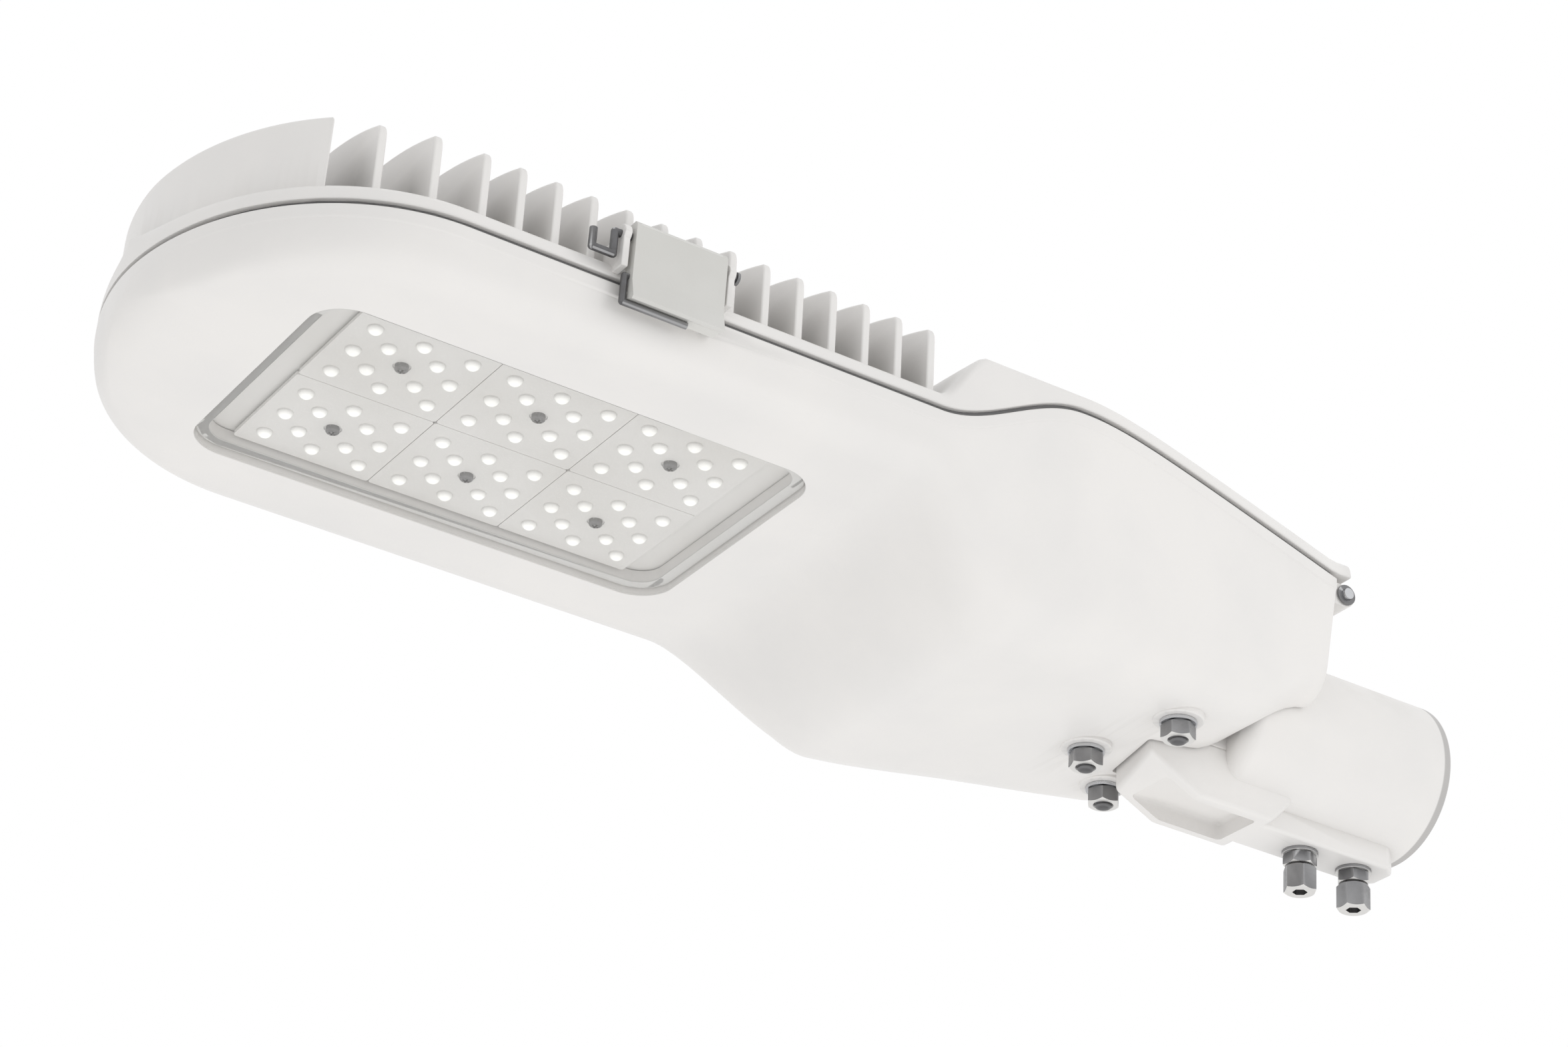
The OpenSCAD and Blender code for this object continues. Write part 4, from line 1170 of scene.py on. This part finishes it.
def latch_ledge(f):
    """The ledge on the flank that the latch's hook reaches under."""
    top, y = f.ledge_top_z, f.head_half
    section = [(y - 3, top), (y + 1.2, top - 1.1), (y + 1.6, top - 1.9)]
    section += [(y + 1.6, top - 3.8), (y + 1.1, top - 4.2), (y - 4, top - 5)]
    return eased(across_latch(f.latch_x - f.latch_w / 2 + 5, f.latch_w - 10, section), 0.3, 2)


def arch(t):
    """Arch over the cover, 0 at its edges and 1 in the middle."""
    return 1 - abs(t) ** 2.7


def fin(f, x):
    """One cast fin with rounded tips and edges."""
    w, base, half = f.half_w(x) - 6.5, f.ceiling_z + 2, f.fin_t / 2

    def outline(d):
        side, edge = w - d, f.fin_edge_z - d
        top = [(side * t - 2.6 * t, blend(edge, f.fin_mid_z - d, arch(t)))
               for t in (i / 16 for i in range(16, -17, -1))]
        right = [(side, base), (side - 0.9, edge - 5.0), (side - 1.2, edge - 2.6),
                 (side - 1.8, edge - 1.0)]
        return right + top + [(-y, z) for y, z in reversed(right)]

    # Places across the fin's thickness, each with how far the outline is drawn in there
    faces = [(-half, 0.9), (0.12 - half, 0.45), (0.45 - half, 0.12), (0.9 - half, 0.0)]
    faces += [(-a, d) for a, d in reversed(faces)]
    return skin([[(x + a, y, z) for y, z in outline(d)] for a, d in faces])


def fin_places(f):
    """Places of the sixteen fins along X, the first three further apart."""
    start = f.nose_x + f.cap_len - 4
    return [start + f.fin_pitch_nose * min(i, 3) + f.fin_pitch * max(0, i - 3)
            for i in range(1, 17)]


def nose_cap(f):
    """The smooth cap over the nose: its edge falls and its arch flattens towards the tip."""
    end = f.nose_x + f.cap_len

    def section(x, inset=0.0):
        w = f.half_w(x, f.cap_inset)
        along = held((x - f.nose_x - f.cap_inset) / (f.cap_len - f.cap_inset))
        rise, e = f.cap_rise * math.sqrt(along), min(2.6, w * 0.4)
        start = 1 - e / w
        edge = f.cap_edge_z - f.cap_fall * (1 - along) - inset
        shoulder = edge + rise * arch(start)
        top = [(w * start * i / 16, edge + rise * arch(start * i / 16)) for i in range(15, -1, -1)]
        soft = bend((w - inset, shoulder - e), (w - inset, shoulder - 0.2), (w - e, shoulder), 6)
        return [(w - inset, f.ceiling_z + 1)] + soft + top

    xs = [x for x in f.stations(f.cap_inset, f.nose_x + 80) if x < end - 1] + [end - 0.5]
    rings = [[(x, y, z) for y, z in mirrored(section(x))] for x in xs]
    rings.append([(end, y, z) for y, z in mirrored(section(end, 0.5))])
    return skin(rings)


def latch_lug(f, e):
    """One of the two lugs on the cover that hold the latch's pin."""
    x = f.latch_x + e * (f.latch_w / 2 + 3) - 1.5
    eye = rounded_rod(4, 0, 3, (x, -f.latch_y, f.latch_z), "X", 0.4)
    joined(eye, box((x + 0.05, -f.latch_y - 3, f.latch_z - 15),
                    (x + 2.95, 9 - f.head_half, f.latch_z), 0.5))
    return cut(eye, rounded_rod(1.65, -1, 4, (x, -f.latch_y, f.latch_z), "X", 0.1, 24))


class LANTERN_OT_cover_casting(bpy.types.Operator):
    """Cover casting: crowned lid with its nose cap, cooling fins, hinge and latch lugs"""

    bl_idname = "lantern.cover_casting"
    bl_label = "Cover casting"

    def execute(self, context):
        f = form()
        end = f.tail_x + 8
        cover = section_solid(f.stations(0, end),
                              lambda x: f.cover_section(x, 0, 0, 0, f.cover_edge))
        w = f.wall
        gear = section_solid(f.stations(w, f.tail_x - w), lambda x: f.cover_section(x, w, w, 3))
        combined(gear, [box((f.step_x + 16, -f.head_w, 0), (0, f.head_w, 100))], "INTERSECT")
        cut(cover, gear)
        side = [(x, f.half_w(x, w + 5))
                for x in f.stations(w + 5, f.step_x + 30) if x < f.step_x + 20]
        side.append((f.step_x + 20, f.half_w(f.step_x + 20, w + 5)))
        cut(cover, prism(side + [(x, -y) for x, y in reversed(side)], 0, f.ceiling_z))
        joined(cover, nose_cap(f))
        for x in fin_places(f):
            joined(cover, fin(f, x))
        for s in (-1, 1):
            joined(cover, knuckle(f, s, (33, 45.5), (f.hinge_x - 5, f.hinge_z, 10, 16)))
            joined(cover, latch_lug(f, s))
        for s in (-1, 1):
            cut(cover, bore(f, *side_span(s, 30, 48.5)))
        for x, y in carrier_holes(f):
            cut(cover, rounded_rod(1.8, f.ceiling_z - 1, f.ceiling_z + 7, (x, y, 0), steps=24))
        dressed(cover, "cover_casting", "cover", cover_coat(), ["upper_housing"])
        return {"FINISHED"}


def carrier_holes(f):
    """Places of the four screws that hold the carrier to the cover."""
    return [(f.window_x + a * 84.5, b * 55.5) for a in (-1, 1) for b in (-1, 1)]


class LANTERN_OT_pole_fitting(bpy.types.Operator):
    """Pole fitting: collar with its bore, the neck, the rib for the clamp screws and the tongue"""

    bl_idname = "lantern.pole_fitting"
    bl_label = "Pole fitting"

    def execute(self, context):
        f = form()
        r, b = f.collar_d / 2, f.spigot_d / 2 + 1
        back = -f.bore_depth - 12
        e, m = 8, 1.4  # radii of the front shoulder and of the mouth's edge
        outer = [(0, back)] + [(r - e + e * math.sin(a), back + e - e * math.cos(a))
                               for a in WIDE_QUARTER]
        outer += [(r - m + m * math.cos(a), -m + m * math.sin(a)) for a in FINE_QUARTER] + [(0, 0)]
        body = revolve(outer, (0, 0, 0), "X", 128)
        nx, w, top = f.turned(f.bolt_run, 0)[0], f.neck_half_w, f.tongue_z + 1
        neck = prism(neck_plan(f, 0, back + 36), -80, 40)
        side = [(nx - 12, top), (nx - 12, f.belly_seat_z - 3), (nx + 24, -f.rib_z)]
        side += [(back + 26, -f.rib_z), (back + 36, -r + 2), (back + 36, top)]
        combined(neck, [prism(side, -w, w, "Y")], "INTERSECT")
        joined(body, eased(neck, 2.0, 4, 25))
        hw = f.rib_half_w
        rib_plan = [(back + 0.3, -hw), (-14, -hw), (-8, -hw + 5), (-8, hw - 5), (-14, hw),
                    (back + 0.3, hw)]
        joined(body, eased(prism(rib_plan, -f.rib_z, -r + 6), 1.6, 4, 25))
        tongue = prism(tongue_plan(f), f.tongue_z, f.tongue_z + f.tongue_t)
        joined(body, eased(tongue, 0.8, 3, 25))
        hole = [(0, -f.bore_depth), (b, -f.bore_depth), (b, -1.2), (b + 1.2, 0), (b + 1.2, 1),
                (0, 1)]
        cut(body, revolve(hole, (0, 0, 0), "X", 128))
        cut(body, rounded_rod(10.2, back - 1, back + 8, (0, 0, 0), "X"))
        cut(body, rounded_rod(15, back + 6, back + 14, (0, 0, 0), "X"))
        hollow = box((nx + 9, -w + 5, -80), (nx + 57, w - 5, -r - 1))
        cut(body, eased(hollow, 2.0, 4))
        for x in f.clamps:
            cut(body, rounded_rod(f.bolt_d / 2 + 0.3, -80, 0, (x, 0, 0)))
        for x, y in f.bolts:
            cut(body, rounded_rod(f.bolt_d / 2 + 0.3, -80, 20, (x, y, 0)))
        dressed(body, "pole_collar_fitting", "housing", collar_coat(),
                ["pole_fitting"])
        return {"FINISHED"}


def tongue_plan(f):
    """Plan of the tongue: round the front bolt, wide at the rear pair and narrow in the neck."""
    (cx, _), (ax, ay), (bx, by) = f.bolts
    r, e, w = f.pad_r, 0.4 * f.pad_r, f.neck_half_w
    rear, back = ax + r - 0.5, -f.bore_depth - 8
    return [(cx - r, e - r), (cx - r + e, -r),
            (bx + 1 - r,
             by - e), (bx - e, by - r + 2), (bx + e, by - r + 2), (bx + r - 0.5, by - e),
            (rear, -w), (back, -w), (back, w), (rear, w),
            (rear, ay + e), (ax + e, ay + r - 1), (ax - e, ay + r - 1), (ax - r, ay + e),
            (cx - r + e, r), (cx - r, r - e)]


class LANTERN_OT_fasteners(bpy.types.Operator):
    """Pole bolts with nuts and washers, and the clamp screws with their locknuts"""

    bl_idname = "lantern.fasteners"
    bl_label = "Fasteners"

    def execute(self, context):
        f = form()
        r, across, head_h = f.bolt_d / 2, HEX_ACROSS * f.bolt_d, HEX_HEAD_H * f.bolt_d
        nut_h, thick = NUT_H * f.bolt_d, WASHER_T * f.bolt_d
        bolts, nuts, washers = [], [], []
        for k, (x, y) in enumerate(f.bolts):
            turn, z, top = 0.35 + 0.5 * k, f.pad_z(x), f.tongue_z + f.tongue_t
            bolt = hexagon(across, top, top + head_h, (x, y, 0), turn, both=False)
            joined(bolt, threaded(r, z - f.bolt_below, top + 0.5, (x, y, 0)))
            bolts.append(bolt)
            washers.append(washer(f.bolt_d, r, z - thick, z, (x, y, 0)))
            nuts.append(hexagon(across, z - thick - nut_h, z - thick, (x, y, 0), 0.2 + 0.7 * k,
                                hole=r - 0.2))
        dressed(merged(bolts), "pole_bolts", "housing", dark_steel(),
                ["fitting_bolts"])
        dressed(merged(nuts), "pole_bolt_nuts", "housing", nut_steel(),
                ["fitting_nuts"])
        dressed(merged(washers), "pole_bolt_washers", "housing", zinc_steel(),
                ["fitting_washers"])
        screws, locknuts = [], []
        for k, x in enumerate(f.clamps):
            low = -f.rib_z - 2 * nut_h
            foot = low - head_h
            screw = hexagon(across, foot, low + 0.87 * nut_h, (x, 0, 0), 0.5 + 0.6 * k)
            joined(screw, threaded(r, low, -f.spigot_d / 2 - 2.4, (x, 0, 0), tip="high"))
            turns = [math.radians(60 * i + 20) for i in range(6)]
            socket = [(x + 3.4 * math.cos(a), 3.4 * math.sin(a)) for a in turns]
            cut(screw, prism(socket, foot - 1, foot + 3.2))
            screws.append(screw)
            nut = hexagon(across, -f.rib_z - nut_h, -f.rib_z - thick + 0.05, (x, 0, 0),
                          0.9 - 0.4 * k, hole=r - 0.2)
            joined(nut, washer(f.bolt_d, r - 0.2, -f.rib_z - thick, -f.rib_z, (x, 0, 0)))
            locknuts.append(nut)
        dressed(merged(screws), "collar_clamp_screws", "housing", nut_steel(),
                ["clamp_screws"])
        dressed(merged(locknuts), "collar_locknuts", "housing", nut_steel(),
                ["clamp_locknuts"])
        return {"FINISHED"}


def lens_places(f):
    """Places of the twelve domes about their plate's middle, in staggered rows."""
    px, py = f.lens_pitch_x, f.lens_pitch_y
    rows = [(a * px, b * py) for a in (-2, 2) for b in (-1, 0, 1)]
    rows += [(a * px, b * py) for a in (-1, 1) for b in (-0.5, 0.5)]
    return rows + [(0, b * py) for b in (-1, 1)]


class LANTERN_OT_light(bpy.types.Operator):
    """The window's glass, the six lens plates with twelve domes each, and their screws"""

    bl_idname = "lantern.light"
    bl_label = "Window and lens plates"

    def execute(self, context):
        f = form()
        pane = plate(f.window_x, 0, f.glass_l, f.glass_w, f.glass_r, f.glass_z,
                     f.glass_z + f.glass_t, 0.5)
        dressed(pane, "window_pane", "housing", window_pane(), ["window_glass"], sharp=60)
        side, h = f.plate_side, f.lens_z - f.lens_top_z
        centres = [(f.window_x + a * f.plate_pitch, b * f.plate_pitch) for b in (-0.5, 0.5)
                   for a in (-1, 0, 1)]
        ball = (f.lens_r ** 2 + h * h) / (2 * h)
        reach = math.asin(min(1.0, f.lens_r / ball))
        angles = [reach * i / 8 for i in range(9)]
        cap = [(ball * math.sin(a), f.lens_top_z + ball * (1 - math.cos(a))) for a in angles]
        foot_r = f.lens_r + 0.35
        cap += [(foot_r, f.lens_z + 0.15), (foot_r, f.lens_z + 0.6), (0, f.lens_z + 0.6)]
        dish = [(0, f.lens_z - 1), (4.2, f.lens_z - 1), (3.4, f.lens_z + 0.5),
                (1.7, f.lens_z + 0.6)]
        dish += [(1.7, f.board_z + 2), (0, f.board_z + 2)]
        screws = []
        for k, (cx, cy) in enumerate(centres):
            body = plate(cx, cy, side, side, 1.5, f.lens_z, f.lens_z + f.plate_t, 0.2)
            joined(body, rounded_rod(3.5, f.lens_z + 0.2, f.board_z, (cx, cy, 0), edge=0.2))
            for dx, dy in lens_places(f):
                joined(body, revolve(cap, (cx + dx, cy + dy, 0), "Z", 32))
            cut(body, revolve(dish, (cx, cy, 0), "Z", 40))
            node = "lens_plate_%d" % (k + 1)
            dressed(body, node + "_moulded", "cover", lens_plastic(), [node],
                    sharp=50)
            screw = pan_head(2.8, 3.0, (cx, cy, f.lens_z + 0.55), 0.8)
            joined(screw, rounded_rod(1.5, f.lens_z + 0.4, f.board_z + 4.5, (cx, cy, 0), edge=0.2,
                                      steps=24))
            screws.append(screw)
        dressed(merged(screws), "lens_plate_screws", "cover", dark_steel(),
                ["lens_screws"])
        return {"FINISHED"}


KEPT = {
    "rim_gasket": (rubber, 0.0),
    "glass_seal": (sealant, 0.1),
    "led_carrier": (raw_aluminium, 0.3),
    "led_board": (lambda: plastic("white_board", finish().bezel, (0.79, 0.78, 0.76, 1), 0.35), 0.2),
    "led_chips": (lambda: plastic("phosphor", (0.85, 0.72, 0.25, 1), (0.9, 0.8, 0.4, 1), 0.3), 0.0),
    "carrier_screws": (zinc_steel, 0.3),
    "latch_clip": (latch_coat, 0.5),
    "latch_pin": (dark_steel, 0.2),
    "latch_spring": (dark_steel, 0.0),
    "hinge_pin": (zinc_steel, 0.4),
    "hinge_rings": (dark_steel, 0.2),
    "gear_tray": (zinc_steel, 0.3),
    "tray_screws": (zinc_steel, 0.4),
    "led_driver": (lambda: plastic("driver_case", (0.68, 0.68, 0.66, 1), (0.76, 0.76, 0.74, 1),
                                   0.38), 1.0),
    "driver_screws": (zinc_steel, 0.4),
    "surge_protector": (lambda: plastic("blue_grey_case", (0.10, 0.14, 0.19, 1),
                                        (0.2, 0.25, 0.3, 1)), 0.9),
    "terminal_block": (lambda: plastic("cream_case", (0.78, 0.75, 0.66, 1), (0.84, 0.82, 0.75, 1)),
                       0.4),
    "cable_gland": (black_nylon, 0.4),
    "gland_nut": (black_nylon, 0.4),
    "earth_screw": (brass, 0.3),
    "breather_plug": (black_nylon, 0.5),
}


class LANTERN_OT_kept_parts(bpy.types.Operator):
    """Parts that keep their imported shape: eased edges and a finish for each"""

    bl_idname = "lantern.kept_parts"
    bl_label = "Inner parts, latches and seals"

    def execute(self, context):
        for node, (material, width) in KEPT.items():
            softened(node, material(), width)
        return {"FINISHED"}


def add_camera(scene, stage):
    """The camera at its eye point, turned, tilted and rolled like the photo's."""
    camera = bpy.data.objects.new("camera", bpy.data.cameras.new("camera"))
    scene.collection.objects.link(camera)
    level = math.cos(stage.rise)
    ahead = Vector((math.sin(stage.turn) * level, math.cos(stage.turn) * level,
                    math.sin(stage.rise)))
    camera.rotation_mode = "QUATERNION"
    camera.rotation_quaternion = ahead.to_track_quat("-Z", "Y") @ Quaternion((0, 0, 1), stage.roll)
    camera.location = stage.eye
    camera.data.lens, camera.data.sensor_width = stage.lens, 36
    camera.data.sensor_fit = "HORIZONTAL"
    camera.data.clip_start = 0.05
    scene.camera = camera


def add_lamps(scene, stage):
    """A wide lamp just over the floor and a smaller one at the near side, aimed at the head."""
    aim = Vector((-0.35, 0, 0))
    for name, power, size, place in (
        ("lamp_below", stage.key, 2.4, (-0.35, -0.1, stage.floor_z + 0.15)),
        ("lamp_near_side", stage.fill, 1.4, (0.6, -1.6, 0.35)),
    ):
        lamp = bpy.data.objects.new(name, bpy.data.lights.new(name, "AREA"))
        lamp.data.energy, lamp.data.size = power, size
        lamp.location = place
        lamp.rotation_mode = "QUATERNION"
        lamp.rotation_quaternion = (aim - Vector(place)).to_track_quat("-Z", "Y")
        lamp.visible_camera = lamp.visible_glossy = False
        scene.collection.objects.link(lamp)


def add_floor(stage):
    """A pale floor so wide that its edge lies far away."""
    side, thick, top = 60000, 10, stage.floor_z / MM
    floor = plate(0, 0, side, side, 10, top - thick, top)
    floor.name = floor.data.name = "floor"
    look = {"Colour": finish().floor, "Tint": (0.84, 0.84, 0.84, 1), "Roughness": 0.75,
            "Peel Size": 60.0, "Dust": 0.0}
    floor.data.materials.append(finished("pale_floor", powder_coat_group, look, 0.0002))


def add_world(scene, stage):
    """Even light, and plain white where the camera, a gloss or the glass looks past the lantern."""
    world = scene.world or bpy.data.worlds.new("studio")
    scene.world = world
    world.use_nodes = True
    tree = world.node_tree
    tree.nodes.clear()
    path = put(tree, "ShaderNodeLightPath")
    seen = sums(tree, "MAXIMUM", path.outputs["Is Camera Ray"], path.outputs["Is Glossy Ray"])
    seen = sums(tree, "MAXIMUM", seen, path.outputs["Is Transmission Ray"])
    light = put(tree, "ShaderNodeBackground", {"Color": (1, 1, 1, 1), "Strength": stage.sky})
    white = put(tree, "ShaderNodeBackground", {"Color": (1, 1, 1, 1), "Strength": 1.0})
    both = put(tree, "ShaderNodeMixShader", {0: seen, 1: light.outputs[0], 2: white.outputs[0]})
    put(tree, "ShaderNodeOutputWorld", {"Surface": both.outputs[0]})


class LANTERN_OT_stage(bpy.types.Operator):
    """Camera, lamps, white background and the pale floor"""

    bl_idname = "lantern.stage"
    bl_label = "Stage"

    def execute(self, context):
        scene, stage = context.scene, context.scene.lantern_stage
        add_camera(scene, stage)
        add_lamps(scene, stage)
        add_floor(stage)
        add_world(scene, stage)
        scene.view_settings.view_transform = "Standard"
        return {"FINISHED"}


OPERATORS = (
    LANTERN_OT_lower_casting,
    LANTERN_OT_cover_casting,
    LANTERN_OT_pole_fitting,
    LANTERN_OT_fasteners,
    LANTERN_OT_light,
    LANTERN_OT_kept_parts,
    LANTERN_OT_stage,
)


class LANTERN_PT_panel(bpy.types.Panel):
    """Lists the pieces and their settings"""

    bl_idname = "LANTERN_PT_panel"
    bl_label = "Street lantern"
    bl_space_type = "VIEW_3D"
    bl_region_type = "UI"
    bl_category = "Lantern"

    def draw(self, context):
        for operator in OPERATORS:
            self.layout.operator(operator.bl_idname)
        for group_name in ("lantern_form", "lantern_finish", "lantern_stage"):
            settings = getattr(context.scene, group_name)
            for name in type(settings).__annotations__:
                self.layout.prop(settings, name)


CLASSES = (LanternForm, LanternFinish, LanternStage, *OPERATORS, LANTERN_PT_panel)


def register():
    for each in CLASSES:
        bpy.utils.register_class(each)
    bpy.types.Scene.lantern_form = bpy.props.PointerProperty(type=LanternForm)
    bpy.types.Scene.lantern_finish = bpy.props.PointerProperty(type=LanternFinish)
    bpy.types.Scene.lantern_stage = bpy.props.PointerProperty(type=LanternStage)


def unregister():
    for name in ("lantern_form", "lantern_finish", "lantern_stage"):
        delattr(bpy.types.Scene, name)
    for each in reversed(CLASSES):
        bpy.utils.unregister_class(each)


def main():
    register()
    bpy.ops.lantern.lower_casting()
    bpy.ops.lantern.cover_casting()
    bpy.ops.lantern.pole_fitting()
    bpy.ops.lantern.fasteners()
    bpy.ops.lantern.light()
    bpy.ops.lantern.kept_parts()
    bpy.ops.lantern.stage()


if __name__ == "__main__":
    main()
